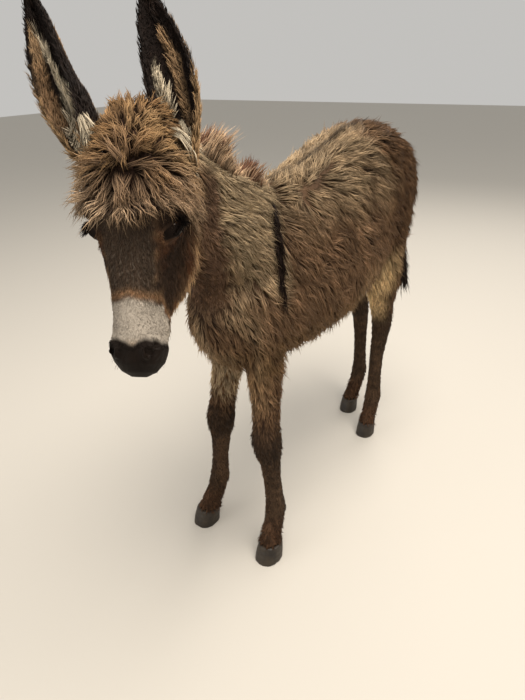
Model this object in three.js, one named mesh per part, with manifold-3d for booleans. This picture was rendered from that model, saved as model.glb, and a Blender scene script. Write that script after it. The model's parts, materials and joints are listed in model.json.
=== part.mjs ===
// A young donkey standing square, life size, in its long first-year coat. Millimetres, +Z up.
// It faces -Y and its left side is +X. Its head is turned to its left, with the ears raised.
// The body is lofted from a few named stations, joined into one form, and parted again with thin flat cuts.
import * as THREE from "three";
import { mergeVertices } from "three/addons/utils/BufferGeometryUtils.js";
import Module from "manifold-3d";

const wasm = await Module();
wasm.setup();

// ---- Driving dimensions, in millimetres and degrees ----
const GAP = 0.4; // width of the thin cut between two neighbours
const FORE_FOOT = {
  left: { x: 110, y: -328, elbow: 80, lean: 0 }, // centre of the hoof on the ground, then where the elbow is
  right: { x: -112, y: -322, elbow: -44, lean: 22 }, // across, and how far it leans back
};
const HIND_FOOT = {
  left: { x: 61, y: 300 },
  right: { x: -60, y: 400, hang: 34 }, // stands further back, its hock hanging back of it
};
const CHEST_SHIFT = 15; // the forehand leans this far to its left
const HOOF_HEIGHT = 46;
const HEAD_AT = [21, -526, 1058]; // middle of the skull between the ears
const HEAD_TURN = 27; // towards its left
const HEAD_SLOPE = 21.5; // of the line down the face, from the vertical
const HEAD_TILT = -1.6; // of the poll towards its left
const EAR_LENGTH = 235;
const EAR_THICK = 9;
const EYE_RADIUS = 17.5;
const BIG = 3000; // the size of a cutting block

// ---- Small numeric helpers ----
const rad = (degrees) => (degrees * Math.PI) / 180;
const mix = (a, b, t) => a + (b - a) * t;
const power = (v, n) => Math.sign(v) * Math.abs(v) ** n;
const smooth = (t) => {
  const c = Math.min(1, Math.max(0, t));
  return c * c * (3 - 2 * c);
};

// Value at t of a Catmull-Rom curve through four equally spaced values.
function cubic(p0, p1, p2, p3, t) {
  const a = 2 * p1 - 2 * p2 + (p2 - p0) / 2 + (p3 - p1) / 2;
  const b = -3 * p1 + 3 * p2 - (p2 - p0) - (p3 - p1) / 2;
  return a * t ** 3 + b * t ** 2 + ((p2 - p0) / 2) * t + p1;
}

const FIELDS = ["x", "y", "z", "side", "front", "back", "square", "pinch"];

// Fills in a station's defaults: a plain ellipse that isn't pinched at its front.
const station = (s) => ({ x: 0, square: 2, pinch: 0, ...s });

// Smooth stations between the given ones, `steps` to each stretch.
function between(stations, steps) {
  const made = [];
  const at = (i) => stations[Math.min(stations.length - 1, Math.max(0, i))];
  for (let i = 0; i < stations.length - 1; i++) {
    for (let k = 0; k < steps; k++) {
      const one = {};
      for (const f of FIELDS) {
        one[f] = cubic(at(i - 1)[f], at(i)[f], at(i + 1)[f], at(i + 2)[f], k / steps);
      }
      made.push(one);
    }
  }
  made.push(stations[stations.length - 1]);
  return made;
}

// One ring of points of a station, square to the centre line. `front` and `back` are measured along the line's
// direction crossed with the side axis: forward on a leg that runs down, and up on a body that runs forward.
function ring(s, along, sideAxis, around) {
  const side = sideAxis.clone().addScaledVector(along, -sideAxis.dot(along)).normalize();
  const front = new THREE.Vector3().crossVectors(along, side);
  const points = [];
  for (let i = 0; i < around; i++) {
    const angle = (2 * Math.PI * i) / around;
    const c = power(Math.cos(angle), 2 / s.square);
    const f = power(Math.sin(angle), 2 / s.square);
    const narrowed = 1 - s.pinch * Math.max(0, f) ** 1.5;
    points.push(
      new THREE.Vector3(s.x, s.y, s.z)
        .addScaledVector(side, s.side * c * narrowed)
        .addScaledVector(front, (f > 0 ? s.front : s.back) * f),
    );
  }
  return points;
}

// A closed skin over rings of equal length, with a fan at each end.
function skinOver(rings) {
  const around = rings[0].length;
  const points = rings.flat();
  const faces = [];
  for (let r = 0; r < rings.length - 1; r++) {
    for (let i = 0; i < around; i++) {
      const a = r * around + i;
      const b = r * around + ((i + 1) % around);
      faces.push(a, b, b + around, a, b + around, a + around);
    }
  }
  for (const [r, order] of [[0, -1], [rings.length - 1, 1]]) {
    const middle = rings[r].reduce((sum, p) => sum.add(p), new THREE.Vector3()).divideScalar(around);
    points.push(middle);
    for (let i = 0; i < around; i++) {
      const a = r * around + i;
      const b = r * around + ((i + 1) % around);
      faces.push(points.length - 1, ...(order > 0 ? [a, b] : [b, a]));
    }
  }
  return new THREE.BufferGeometry().setFromPoints(points).setIndex(faces);
}

// A closed tube through stations. Its rings are square to the centre line, or to `way` where that is given.
function loft(stations, { around = 24, steps = 3, way = null, sideAxis = new THREE.Vector3(1, 0, 0) } = {}) {
  const all = between(stations.map(station), steps);
  const centre = all.map((s) => new THREE.Vector3(s.x, s.y, s.z));
  const rings = all.map((s, i) => {
    const before = centre[Math.max(0, i - 1)];
    const after = centre[Math.min(all.length - 1, i + 1)];
    return ring(s, way ?? after.clone().sub(before).normalize(), sideAxis, around);
  });
  return skinOver(rings);
}

// ---- Joining and cutting ----
function solid(geometry) {
  const bare = (geometry.index ? geometry.toNonIndexed() : geometry.clone());
  for (const name of Object.keys(bare.attributes)) if (name !== "position") bare.deleteAttribute(name);
  const merged = mergeVertices(bare, 1e-3);
  return new wasm.Manifold(
    new wasm.Mesh({
      numProp: 3,
      vertProperties: new Float32Array(merged.attributes.position.array),
      triVerts: new Uint32Array(merged.index.array),
    }),
  );
}

const joined = (...solids) => solids.reduce((sum, s) => sum.add(s));

function geometryOf(made) {
  const mesh = made.getMesh();
  const geometry = new THREE.BufferGeometry();
  geometry.setAttribute("position", new THREE.BufferAttribute(new Float32Array(mesh.vertProperties), 3));
  geometry.setIndex(new THREE.BufferAttribute(new Uint32Array(mesh.triVerts), 1));
  geometry.computeVertexNormals();
  return geometry;
}

// A block that fills all space on the far side of a plane, seen along `direction`, from `start` on.
function beyond(start, direction) {
  const block = new THREE.BoxGeometry(BIG, BIG, BIG);
  block.translate(0, 0, BIG / 2);
  const turn = new THREE.Quaternion().setFromUnitVectors(
    new THREE.Vector3(0, 0, 1),
    direction.clone().normalize(),
  );
  block.applyQuaternion(turn);
  block.translate(start.x, start.y, start.z);
  return solid(block);
}

// Parts a solid at a plane: [what lies before it, what lies beyond it], with the gap between them.
function parted(made, point, direction) {
  const way = direction.clone().normalize();
  const near = point.clone().addScaledVector(way, -GAP / 2);
  const far = point.clone().addScaledVector(way, GAP / 2);
  return [made.subtract(beyond(near, way)), made.intersect(beyond(far, way))];
}

// The biggest separate piece of a solid, without the chips that a cut leaves.
const biggest = (made) => made.decompose().sort((a, b) => b.volume() - a.volume())[0];

// A solid's skin moved outwards by twice the gap, as a corner moves out less than it should.
function swelled(made) {
  const geometry = geometryOf(made);
  const { position, normal } = geometry.attributes;
  const p = new THREE.Vector3();
  const n = new THREE.Vector3();
  for (let i = 0; i < position.count; i++) {
    p.fromBufferAttribute(position, i).addScaledVector(n.fromBufferAttribute(normal, i), 2 * GAP);
    position.setXYZ(i, p.x, p.y, p.z);
  }
  return solid(geometry);
}

// What is left of a solid that makes way for its neighbours, with the gap between them.
const clearOf = (made, ...others) => others.reduce((rest, other) => rest.subtract(swelled(other)), made);

// An ellipsoid with half sizes, turned about X and moved.
function ellipsoid([rx, ry, rz], [x, y, z], tilt = 0, across = 20, down = 14) {
  const ball = new THREE.SphereGeometry(1, across, down);
  ball.scale(rx, ry, rz);
  ball.rotateX(rad(tilt));
  ball.translate(x, y, z);
  return solid(ball);
}

const V = (x, y, z) => new THREE.Vector3(x, y, z);
const DOWN = V(0, 0, -1);
const FORWARD = V(0, -1, 0);

// How far the body's middle lies to its left at y: nothing at the loins, the whole shift at the chest.
const leanAt = (y) => CHEST_SHIFT * smooth(-y / 280);

// ---- Trunk, from the buttocks forward ----
function trunk() {
  // y, then the coat's top and bottom, the height of its widest line, and half its width there
  const section = (y, top, bottom, widest, side, more = {}) => ({
    x: leanAt(y),
    y,
    z: widest,
    side,
    front: top - widest,
    back: widest - bottom,
    ...more,
  });
  return solid(
    loft(
      [
        section(450, 866, 790, 826, 28),
        section(434, 936, 730, 830, 92),
        section(398, 978, 672, 822, 128, { square: 2.15 }),
        section(330, 1003, 606, 795, 145, { square: 2.2 }),
        section(245, 1012, 574, 780, 155, { square: 2.2 }),
        section(150, 998, 536, 755, 162, { square: 2.2 }),
        section(50, 968, 512, 730, 166, { square: 2.2, pinch: 0.06 }),
        section(-50, 944, 506, 715, 162, { square: 2.15, pinch: 0.16 }),
        section(-150, 934, 510, 700, 144, { square: 2.1, pinch: 0.3 }),
        section(-240, 912, 518, 692, 124, { square: 2.1, pinch: 0.3 }),
        section(-320, 868, 532, 688, 106, { square: 2.1, pinch: 0.2 }),
        section(-380, 808, 562, 680, 86),
        section(-412, 758, 602, 676, 60),
        section(-424, 710, 646, 676, 24),
      ],
      { around: 24, steps: 1, way: FORWARD },
    ),
  );
}

// ---- Neck, from inside the shoulders up to the skull ----
const NECK = [
  { x: 8, y: -170, z: 740, side: 96, front: 175, back: 150, pinch: 0.3 },
  { x: 13, y: -262, z: 785, side: 100, front: 162, back: 152, pinch: 0.3 },
  { x: 15, y: -345, z: 842, side: 86, front: 138, back: 132, pinch: 0.3 },
  { x: 15, y: -418, z: 905, side: 74, front: 114, back: 112, pinch: 0.25 },
  { x: 14, y: -475, z: 968, side: 74, front: 92, back: 96, pinch: 0.15 },
  { x: 14, y: -510, z: 1015, side: 64, front: 66, back: 70 },
];
const neck = () => solid(loft(NECK, { around: 20, steps: 1 }));

// ---- Fore leg ----
// The shoulder blade and upper arm lie flat against the chest, then the leg runs straight down to the fetlock.
function foreLeg(foot) {
  const ELBOW = 560;
  const out = Math.sign(foot.x);
  const at = (back, z, side, front, behind, more = {}) => ({
    x: mix(foot.x, foot.elbow, Math.min(1, z / ELBOW)),
    y: foot.y + back + foot.lean * Math.min(1, z / ELBOW),
    z,
    side,
    front,
    back: behind,
    ...more,
  });
  const lying = (inwards, ...rest) => {
    const one = at(...rest);
    return { ...one, x: one.x - inwards * out };
  };
  const stations = [
    lying(46, 150, 885, 24, 30, 36),
    lying(28, 108, 820, 42, 70, 78),
    lying(14, 54, 738, 50, 98, 98),
    lying(4, 30, 655, 49, 92, 92),
    at(34, 580, 44, 60, 72),
    at(34, 508, 38, 44, 54),
    at(31, 445, 35, 37, 44),
    at(27, 392, 34, 35, 38),
    at(25, 352, 36, 38, 36, { square: 2.4 }),
    at(27, 316, 34, 34, 35, { square: 2.4 }),
    at(31, 280, 27, 27, 29),
    at(34, 220, 23, 23, 26),
    at(37, 165, 24, 24, 28),
    at(38, 132, 28, 28, 33),
    at(28, 98, 25, 25, 29),
    at(14, 70, 26, 26, 27),
    at(6, HOOF_HEIGHT, 30, 31, 30),
    at(4, HOOF_HEIGHT - 16, 30, 31, 30),
  ];
  return solid(loft(stations, { around: 14, steps: 1 }));
}

// ---- Hind leg ----
function hindLeg(foot) {
  const HIP = 800;
  const side = Math.sign(foot.x);
  const reach = foot.y - HIND_FOOT.left.y; // how much further back than the left foot it stands
  const at = (out, y, z, rest) => ({
    x: foot.x + out * side,
    y: y + (reach + (foot.hang ?? 0) * smooth(z / 150)) * (1 - Math.min(1, z / HIP) ** 2),
    z,
    ...rest,
  });
  const stations = [
    at(10, 330, 930, { side: 40, front: 70, back: 56 }),
    at(26, 300, 850, { side: 60, front: 120, back: 102 }),
    at(38, 278, 765, { side: 60, front: 132, back: 106 }),
    at(43, 258, 685, { side: 55, front: 122, back: 92 }),
    at(41, 258, 610, { side: 50, front: 93, back: 86 }),
    at(32, 285, 545, { side: 43, front: 66, back: 68 }),
    at(18, 314, 482, { side: 36, front: 46, back: 50 }),
    at(10, 340, 432, { side: 32, front: 38, back: 42, square: 2.2 }),
    at(6, 352, 396, { side: 31, front: 36, back: 40, square: 2.3 }),
    at(3, 350, 350, { side: 27, front: 30, back: 33 }),
    at(0, 343, 285, { side: 23, front: 25, back: 27 }),
    at(0, 339, 215, { side: 22, front: 24, back: 26 }),
    at(0, 338, 165, { side: 24, front: 25, back: 29 }),
    at(0, 338, 134, { side: 28, front: 28, back: 33 }),
    at(0, 326, 98, { side: 25, front: 25, back: 29 }),
    at(0, 312, 70, { side: 24, front: 25, back: 26 }),
    at(0, 305, HOOF_HEIGHT, { side: 26, front: 28, back: 28 }),
    at(0, 303, HOOF_HEIGHT - 16, { side: 26, front: 28, back: 28 }),
  ];
  return solid(loft(stations, { around: 14, steps: 1 }));
}

// A narrow upright hoof, flat on the ground, with its toe forward.
function hoof({ x, y }, size) {
  const wall = (z, out, back, front, behind) => ({
    x,
    y: y + back,
    z,
    side: out * size,
    front: front * size,
    back: behind * size,
    square: 2.3,
  });
  return loft(
    [
      wall(HOOF_HEIGHT - GAP, 28, 5, 30, 29),
      wall(HOOF_HEIGHT - 6, 30, 4, 32, 31),
      wall(20, 32, 0, 37, 33),
      wall(0, 33, -3, 40, 33),
    ],
    { around: 18, steps: 1, way: DOWN },
  );
}

// ---- Head ----
// Its own frame: the skull's middle at the origin, the nose down along -Z, the face towards -Y.
const HEAD_PLACE = new THREE.Matrix4()
  .makeTranslation(...HEAD_AT)
  .multiply(new THREE.Matrix4().makeRotationZ(rad(HEAD_TURN)))
  .multiply(new THREE.Matrix4().makeRotationY(rad(HEAD_TILT)))
  .multiply(new THREE.Matrix4().makeRotationX(rad(-HEAD_SLOPE)));

const placed = (geometry) => geometry.clone().applyMatrix4(HEAD_PLACE);

const facing = (down, y, side, front, back, more = {}) => ({ y, z: -down, side, front, back, ...more });

// From the woolly crown down the nose to the upper lip.
function skull() {
  return loft(
    [
      facing(-60, 4, 24, 22, 24),
      facing(-46, 2, 58, 48, 52),
      facing(-8, 0, 86, 72, 80),
      facing(42, 0, 102, 84, 92),
      facing(90, 0, 105, 86, 90),
      facing(126, 0, 92, 76, 86),
      facing(156, 0, 72, 60, 82, { square: 2.2 }),
      facing(200, 0, 57, 54, 72, { square: 2.3 }),
      facing(246, 0, 46, 50, 54, { square: 2.3 }),
      facing(290, 0, 41, 48, 40, { square: 2.3 }),
      facing(322, 0, 44, 47, 34, { square: 2.2 }),
      facing(346, 0, 49, 44, 30, { square: 2.3 }),
      facing(370, -1, 46, 39, 29, { square: 2.2 }),
      facing(386, -3, 36, 28, 22),
      facing(395, -4, 16, 12, 10),
    ],
    { around: 20, steps: 1 },
  );
}

// The lower jaw, from the round of the cheek to the chin.
function jaw() {
  return loft(
    [
      facing(-6, 58, 34, 34, 48),
      facing(34, 62, 64, 56, 76),
      facing(84, 62, 76, 66, 92),
      facing(140, 60, 79, 68, 106),
      facing(195, 57, 77, 64, 108),
      facing(240, 47, 64, 56, 94),
      facing(285, 34, 46, 42, 64),
      facing(325, 25, 40, 30, 45),
      facing(356, 20, 39, 24, 35),
      facing(378, 16, 30, 17, 24),
      facing(389, 14, 12, 8, 10),
    ],
    { around: 16, steps: 1 },
  );
}

const EYE_AT = (side) => [60 * side, -18, -153];
const NOSTRIL = { out: 27, y: -33, down: 342 };

function head() {
  let made = joined(solid(skull()), solid(jaw()));
  for (const side of [1, -1]) {
    const at = [NOSTRIL.out * side, NOSTRIL.y, -NOSTRIL.down];
    made = made.add(ellipsoid([14, 13, 19], at, -20, 10, 6)); // the wing of the nostril
    made = made.subtract(ellipsoid([7, 9, 12], [at[0] + 6 * side, at[1] - 8, at[2] - 4], -24, 8, 6));
    made = made.subtract(ellipsoid(Array(3).fill(EYE_RADIUS + GAP), EYE_AT(side), 0, 12, 8));
  }
  return made;
}

// ---- Ears ----
// Each ear is a tall cup that bows outwards, widest below its middle and open to the front.
const EARS = {
  left: { out: 69, y: 6, up: -24, lean: -11.9, back: 7, turn: 21, bow: 8, flare: 2, wide: 1 },
  right: { out: 110, y: 2, up: 4, lean: 19.5, back: 0, turn: 23, bow: 11, flare: 10, wide: 1.08 },
};

function ear(word, side) {
  const { out, y, up, lean, back, turn, bow, flare, wide } = EARS[word];
  const open = (share) => flare * (1 - smooth(share / 0.5)); // its root spreads towards the poll
  const at = (share, half, deep, forward = 0) => ({
    x: side * (bow * Math.sin(Math.PI * Math.max(0, share)) - open(share)),
    y: -forward,
    z: share * EAR_LENGTH,
    side: half * wide + open(share),
    front: deep,
    back: deep,
  });
  const outer = loft(
    [
      at(-0.18, 18, 20),
      at(0.0, 31, 30),
      at(0.2, 39, 33),
      at(0.42, 41, 30),
      at(0.62, 38, 25),
      at(0.8, 30, 18),
      at(0.93, 19, 12),
      at(0.98, 11, 8),
      at(1.0, 4, 4),
    ],
    { around: 16, steps: 1 },
  );
  const bowl = loft(
    [
      at(0.03, 9, 9, 16),
      at(0.14, 39 - EAR_THICK - 6, 22, 24),
      at(0.28, 41 - EAR_THICK, 24, 24),
      at(0.46, 41 - EAR_THICK, 24, 22),
      at(0.64, 37 - EAR_THICK, 22, 18),
      at(0.8, 29 - EAR_THICK, 16, 14),
      at(0.92, 9, 9, 9),
    ],
    { around: 12, steps: 1 },
  );
  const place = HEAD_PLACE.clone()
    .multiply(new THREE.Matrix4().makeTranslation(out * side, y, up))
    .multiply(new THREE.Matrix4().makeRotationX(rad(back)))
    .multiply(new THREE.Matrix4().makeRotationY(rad(lean * side)))
    .multiply(new THREE.Matrix4().makeRotationZ(rad(turn * side)));
  return solid(outer.applyMatrix4(place)).subtract(solid(bowl.applyMatrix4(place)));
}

// ---- Mane ----
// A stiff upright crest of tufts, from behind the ears to the withers.
function mane() {
  const crest = [
    { x: 15, y: -448, z: 1032, side: 12, front: 20, back: 28 },
    { x: 15, y: -418, z: 1022, side: 16, front: 38, back: 46 },
    { x: 15, y: -366, z: 996, side: 18, front: 48, back: 48 },
    { x: 14, y: -308, z: 966, side: 18, front: 44, back: 44 },
    { x: 12, y: -250, z: 942, side: 17, front: 34, back: 40 },
    { x: 8, y: -190, z: 924, side: 14, front: 20, back: 30 },
  ].reverse();
  return solid(loft(crest.map((s) => ({ pinch: 0.5, ...s })), { around: 12, steps: 1 }));
}

// ---- Tail ----
function tail() {
  const stations = [
    { y: 425, z: 908, side: 24, front: 24, back: 24 },
    { x: 2, y: 456, z: 876, side: 25, front: 24, back: 24 },
    { x: 8, y: 474, z: 820, side: 22, front: 21, back: 21 },
    { x: 20, y: 482, z: 745, side: 18, front: 18, back: 18 },
    { x: 34, y: 486, z: 670, side: 16, front: 16, back: 16 },
    { x: 46, y: 487, z: 605, side: 21, front: 21, back: 21 },
    { x: 54, y: 486, z: 545, side: 25, front: 24, back: 24 },
    { x: 58, y: 484, z: 490, side: 17, front: 16, back: 16 },
    { x: 59, y: 483, z: 462, side: 4, front: 4, back: 4 },
  ];
  return solid(loft(stations, { around: 12, steps: 1 }));
}

// ---- Materials ----
const coat = (color, roughness = 0.9) => new THREE.MeshStandardMaterial({ color, roughness, metalness: 0 });
const MATERIALS = {
  coat: coat("#7a6450"),
  mane: coat("#4a352a"),
  legs: coat("#4b3a31"),
  hoof: coat("#3a332f", 0.55),
  eye: coat("#120c0a", 0.12),
};

// ---- Assembly ----
const model = new THREE.Group();

function addMesh(name, geometry, material) {
  const mesh = new THREE.Mesh(geometry, material);
  mesh.name = name;
  model.add(mesh);
}

const add = (name, made, material = MATERIALS.coat) => addMesh(name, geometryOf(biggest(made)), material);

// Neck and trunk meet at a plane that slopes from the withers to the breast.
const COLLAR = { at: V(0, -300, 830), way: V(0, -1, 1) };

// Where each leg is cut across, from the top down, and what the pieces below the first cut are called.
const LEGS = {
  fore: {
    make: foreLeg,
    feet: FORE_FOOT,
    size: 1,
    cuts: [548, 300, 112, HOOF_HEIGHT],
    names: ["forearm", "cannon", "pastern"],
  },
  hind: {
    make: hindLeg,
    feet: HIND_FOOT,
    size: 0.88,
    cuts: [585, 372, 112, HOOF_HEIGHT],
    names: ["gaskin", "cannon", "pastern"],
  },
};
const SIDES = { left: 1, right: -1 };

const skullSolid = solid(placed(geometryOf(head())));
const flesh = joined(trunk(), neck());
let [body, collar] = parted(flesh, COLLAR.at, COLLAR.way);
const lower = [];
for (const [end, { make, feet, size, cuts, names }] of Object.entries(LEGS)) {
  for (const word of Object.keys(SIDES)) {
    let [upper, rest] = parted(make(feet[word]), V(0, 0, cuts[0]), DOWN);
    body = body.add(upper);
    names.forEach((name, i) => {
      let piece;
      [piece, rest] = parted(rest, V(0, 0, cuts[i + 1]), DOWN);
      lower.push([`${end}_${name}_${word}`, piece]);
    });
    addMesh(`${end}_hoof_${word}`, hoof(feet[word], size), MATERIALS.hoof);
  }
}
collar = clearOf(collar, body, skullSolid);
add("trunk", body);
add("head", skullSolid);
add("neck", collar);
for (const [name, piece] of lower) add(name, clearOf(piece, body), MATERIALS.legs);
const ears = {};
for (const [word, side] of Object.entries(SIDES)) {
  ears[word] = ear(word, side);
  add(`ear_${word}`, clearOf(ears[word], skullSolid));
  const eye = new THREE.SphereGeometry(EYE_RADIUS, 12, 8);
  eye.translate(...EYE_AT(side));
  addMesh(`eye_${word}`, placed(eye), MATERIALS.eye);
}
add("mane", clearOf(mane(), flesh, skullSolid, ears.left, ears.right), MATERIALS.mane);
add("tail", clearOf(tail(), body), MATERIALS.coat);

// The model stands with the middle of its bounding box over the origin.
const box = new THREE.Box3().setFromObject(model);
for (const mesh of model.children) {
  mesh.geometry.translate(-(box.min.x + box.max.x) / 2, -(box.min.y + box.max.y) / 2, -box.min.z);
}

export default model;
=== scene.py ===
"""A standing donkey foal in its long winter coat: one skin, eyes, hooves and a coat of solid tufts."""

import json
import math
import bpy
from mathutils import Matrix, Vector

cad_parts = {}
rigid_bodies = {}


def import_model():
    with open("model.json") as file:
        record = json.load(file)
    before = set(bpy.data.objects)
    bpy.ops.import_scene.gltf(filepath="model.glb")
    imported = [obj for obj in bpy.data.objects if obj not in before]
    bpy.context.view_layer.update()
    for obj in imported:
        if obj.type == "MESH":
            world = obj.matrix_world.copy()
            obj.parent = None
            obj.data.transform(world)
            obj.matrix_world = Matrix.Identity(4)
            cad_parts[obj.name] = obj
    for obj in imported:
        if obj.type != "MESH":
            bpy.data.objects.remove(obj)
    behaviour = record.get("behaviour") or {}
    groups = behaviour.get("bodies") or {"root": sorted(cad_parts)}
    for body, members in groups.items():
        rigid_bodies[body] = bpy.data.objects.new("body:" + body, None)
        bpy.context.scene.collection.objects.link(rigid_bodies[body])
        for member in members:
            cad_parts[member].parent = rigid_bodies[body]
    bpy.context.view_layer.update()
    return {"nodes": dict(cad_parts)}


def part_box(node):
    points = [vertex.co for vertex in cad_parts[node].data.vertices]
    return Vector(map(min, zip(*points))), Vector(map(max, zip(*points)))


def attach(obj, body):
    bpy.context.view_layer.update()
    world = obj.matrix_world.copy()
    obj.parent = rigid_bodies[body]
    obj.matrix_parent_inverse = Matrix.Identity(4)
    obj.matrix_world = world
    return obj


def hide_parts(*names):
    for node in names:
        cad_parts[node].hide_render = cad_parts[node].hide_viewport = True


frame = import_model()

from types import SimpleNamespace

import bmesh
import bpy
import numpy as np
from bpy.props import FloatProperty, FloatVectorProperty, IntProperty, PointerProperty
from mathutils import Matrix, Vector
from mathutils.bvhtree import BVHTree
from mathutils.kdtree import KDTree

bl_info = {
    "name": "Donkey in winter coat",
    "version": (1, 0, 0),
    "blender": (4, 5, 0),
    "location": "View3D > Sidebar > Donkey",
    "description": "Builds the skin, eyes, hooves and coat of a standing donkey",
    "category": "Object",
}

NODES = frame["nodes"]
SIDES = (("left", 1), ("right", -1))
REGIONS = ("trunk", "neck", "head", "fore_forearm", "fore_cannon", "fore_pastern",
           "hind_gaskin", "hind_cannon", "hind_pastern", "tail", "ear")
LEGS = REGIONS[3:9]

# ---------------------------------------------------------------- places
# The stance frame is in mm, nose along -Y and left along +X. Its origin follows from the left fore hoof.
HOOF_LOW, HOOF_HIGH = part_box("fore_hoof_left")
ORIGIN = np.array([(HOOF_LOW.x + HOOF_HIGH.x) / 2 - 0.110, (HOOF_LOW.y + HOOF_HIGH.y) / 2 + 0.3345, 0.0])
# The head's frame: x its left, -y out of the face, z towards the poll.
HEAD_AT = np.array([21.0, -526.0, 1058.0])
HEAD_TURN, HEAD_TILT, HEAD_SLOPE = 27.0, -1.6, -21.5
EYE_AT = np.array([60.0, -18.0, -153.0])
EYE_SLANT = np.array([0, .69, .72])
NOSTRIL_AT = np.array([27.0, -33.0, -342.0])
# The parting of the forelock, a dark gap beside it, and where the cream hair of each ear hangs out over the poll.
WHORL = ((13, -84, -44), (-15, -88, -90))
SIDE_GAP = ((-48, -70, -88), (-16, -86, -76))
BUNDLES = (((54, -55, 34), (82, -47, -38)), ((-90, -28, 34), (-62, -60, -28)))
# Ears: their root and lean in the head's frame; then, for shares up them, half width, half depth and wrap in degrees.
EAR_LENGTH, EAR_WALL, EAR_ROOT = 235.0, 4.5, .18
EARS = {
    "left": dict(out=69, y=6, up=-24, lean=-11.9, back=7, turn=21, bow=8, flare=2, wide=1.0),
    "right": dict(out=110, y=2, up=4, lean=19.5, back=0, turn=23, bow=11, flare=10, wide=1.08),
}
EAR_STATIONS = np.array(((-.18, 18, 20), (0, 31, 30), (.2, 39, 33), (.42, 41, 30), (.62, 38, 25), (.8, 30, 18),
                         (.93, 19, 12), (.98, 11, 8), (1, 4, 4)))
EAR_WRAP = ((-.18, 0, .2, .5, .8, 1), (158, 140, 118, 104, 96, 90))
# Stance mm: the mane's line, the tail's x, y, z and half width, and lines given as heights and the y at each.
MANE = np.array([[15, -452, 1012], [14, -400, 996], [12, -340, 968], [10, -270, 936], [8, -200, 908]], float)
TAIL = np.array([[59, 483, 462, 4], [58, 484, 490, 17], [54, 486, 545, 25], [46, 487, 605, 21], [34, 486, 670, 16],
                 [20, 482, 745, 18], [8, 474, 820, 22], [2, 456, 876, 25], [0, 425, 908, 24]], float)
CROSS = ((640, 683, 738, 797, 845, 879, 903, 940, 975), (-266, -273, -271, -259, -250, -229, -217, -196, -176))
CROSS_TONE = ((645, 700, 765, 790, 868, 892), (0, .2, .4, .9, 1, 0))
CROSS_LOCKS = ((672, 700, 770, 795, 868, 895), (.05, .14, .28, .85, 1, .1))
NECK_FRONT = ((680, 737, 782, 847, 903, 952), (-400, -397, -406, -419, -419, -406))
# The hair of the back parts along this line, from the left of the withers towards the loin.
PARTING = ((76, -118, 900), (77, -44, 920))

CAMERA_AT, CAMERA_TURN, CAMERA_PITCH, CAMERA_ROLL = (.7539, -1.1706, 1.1577), .6567, .48, -.0314
CAMERA_LENS, CAMERA_FILM = 38.4, 36
LIGHTS = (
    ("key", (.9, -.2, 3.4), 2.4, 145, "#fff6ea"),
    ("fill", (-1.6, -3.2, 1.5), 2.6, 26, "#fffaf4"),
    ("back", (-.4, 3.0, 2.8), 2.4, 50, "#fff8f0"),
)


def turn(axis, degrees):
    """A 3x3 rotation about one axis."""
    return np.array(Matrix.Rotation(math.radians(degrees), 3, axis))


HEAD_ROT = turn("Z", HEAD_TURN) @ turn("Y", HEAD_TILT) @ turn("X", HEAD_SLOPE)


def to_row(stance):
    """Stance millimetres to row metres."""
    return np.asarray(stance, float) / 1000 + ORIGIN


def to_stance(points):
    return (np.asarray(points) - ORIGIN) * 1000


def to_head(stance):
    """Stance millimetres to the head's frame."""
    return (np.asarray(stance) - HEAD_AT) @ HEAD_ROT


def from_head(local):
    return np.asarray(local) @ HEAD_ROT.T + HEAD_AT


def ear_frame(side, s):
    """The ear's rotation and root, head mm."""
    e = EARS[side]
    rot = turn("X", e["back"]) @ turn("Y", e["lean"] * s) @ turn("Z", e["turn"] * s)
    return rot, np.array([e["out"] * s, e["y"], e["up"]], float)


def ear_middle(side, s, t):
    """Where the middle of the ear's section stands across, and how far its root spreads, for shares up it."""
    spread = EARS[side]["flare"] * step(.5, 0, t)
    return s * (EARS[side]["bow"] * np.sin(np.pi * np.maximum(t, 0)) - spread), spread


def eye_axes(s):
    """The eye's directions in the head's frame: out of the socket, along the lids to the ear, and up over them."""
    ahead = unit(np.array([.90 * s, -.42, .02]))
    along = unit(EYE_SLANT - ahead * (ahead @ EYE_SLANT))
    over = np.cross(ahead, along)
    return ahead, along, over if over[1] < 0 else -over


# ---------------------------------------------------------------- small sums
def linear(hexa):
    """An sRGB hex colour as linear RGB."""
    c = [int(hexa[i:i + 2], 16) / 255 for i in (1, 3, 5)]
    return tuple(x / 12.92 if x <= .04045 else ((x + .055) / 1.055) ** 2.4 for x in c)


def step(start, end, x):
    """0 at start and 1 at end, smoothly, whichever is larger."""
    t = np.clip((np.asarray(x, float) - start) / (end - start), 0, 1)
    return t * t * (3 - 2 * t)


def span(x, a, b, c, d):
    """Rises smoothly from a to b and falls again from c to d."""
    return step(a, b, x) * step(d, c, x)


def bell(x, width):
    return np.exp(-(np.asarray(x) / width) ** 2)


def clipped(x):
    return np.clip(x, 0, 1)


def long(v):
    """The length of each vector."""
    return np.linalg.norm(v, axis=-1)


def unit(v):
    return v / np.maximum(long(v)[..., None], 1e-9)


def columns(*values):
    """Numbers and arrays as the columns of one array."""
    return np.stack(np.broadcast_arrays(*values), 1)


def mix(a, b, share):
    """Colours or directions a, with a share of b."""
    w = np.asarray(share)[..., None]
    return np.asarray(a) * (1 - w) + np.asarray(b) * w


def laid(way, normal):
    """Directions laid on the surface that has these normals."""
    return unit(way - normal * (way * normal).sum(1, keepdims=True))


def from_segment(points, a, b):
    """To each point, from the nearest one between a and b."""
    a, run = np.array(a, float), np.subtract(b, a).astype(float)
    return points - a - np.outer(clipped((points - a) @ run / (run @ run)), run)


def by_line(local, ends):
    """Distance from a short line on the head, seen from in front: the skin lies well under the coat there."""
    flat = np.array([1, .3, 1])
    return long(from_segment(local * flat, *(np.array(ends) * flat)))


def eye_distance(local):
    return long(columns(np.abs(local[:, 0]), local[:, 1], local[:, 2]) - EYE_AT)


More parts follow.
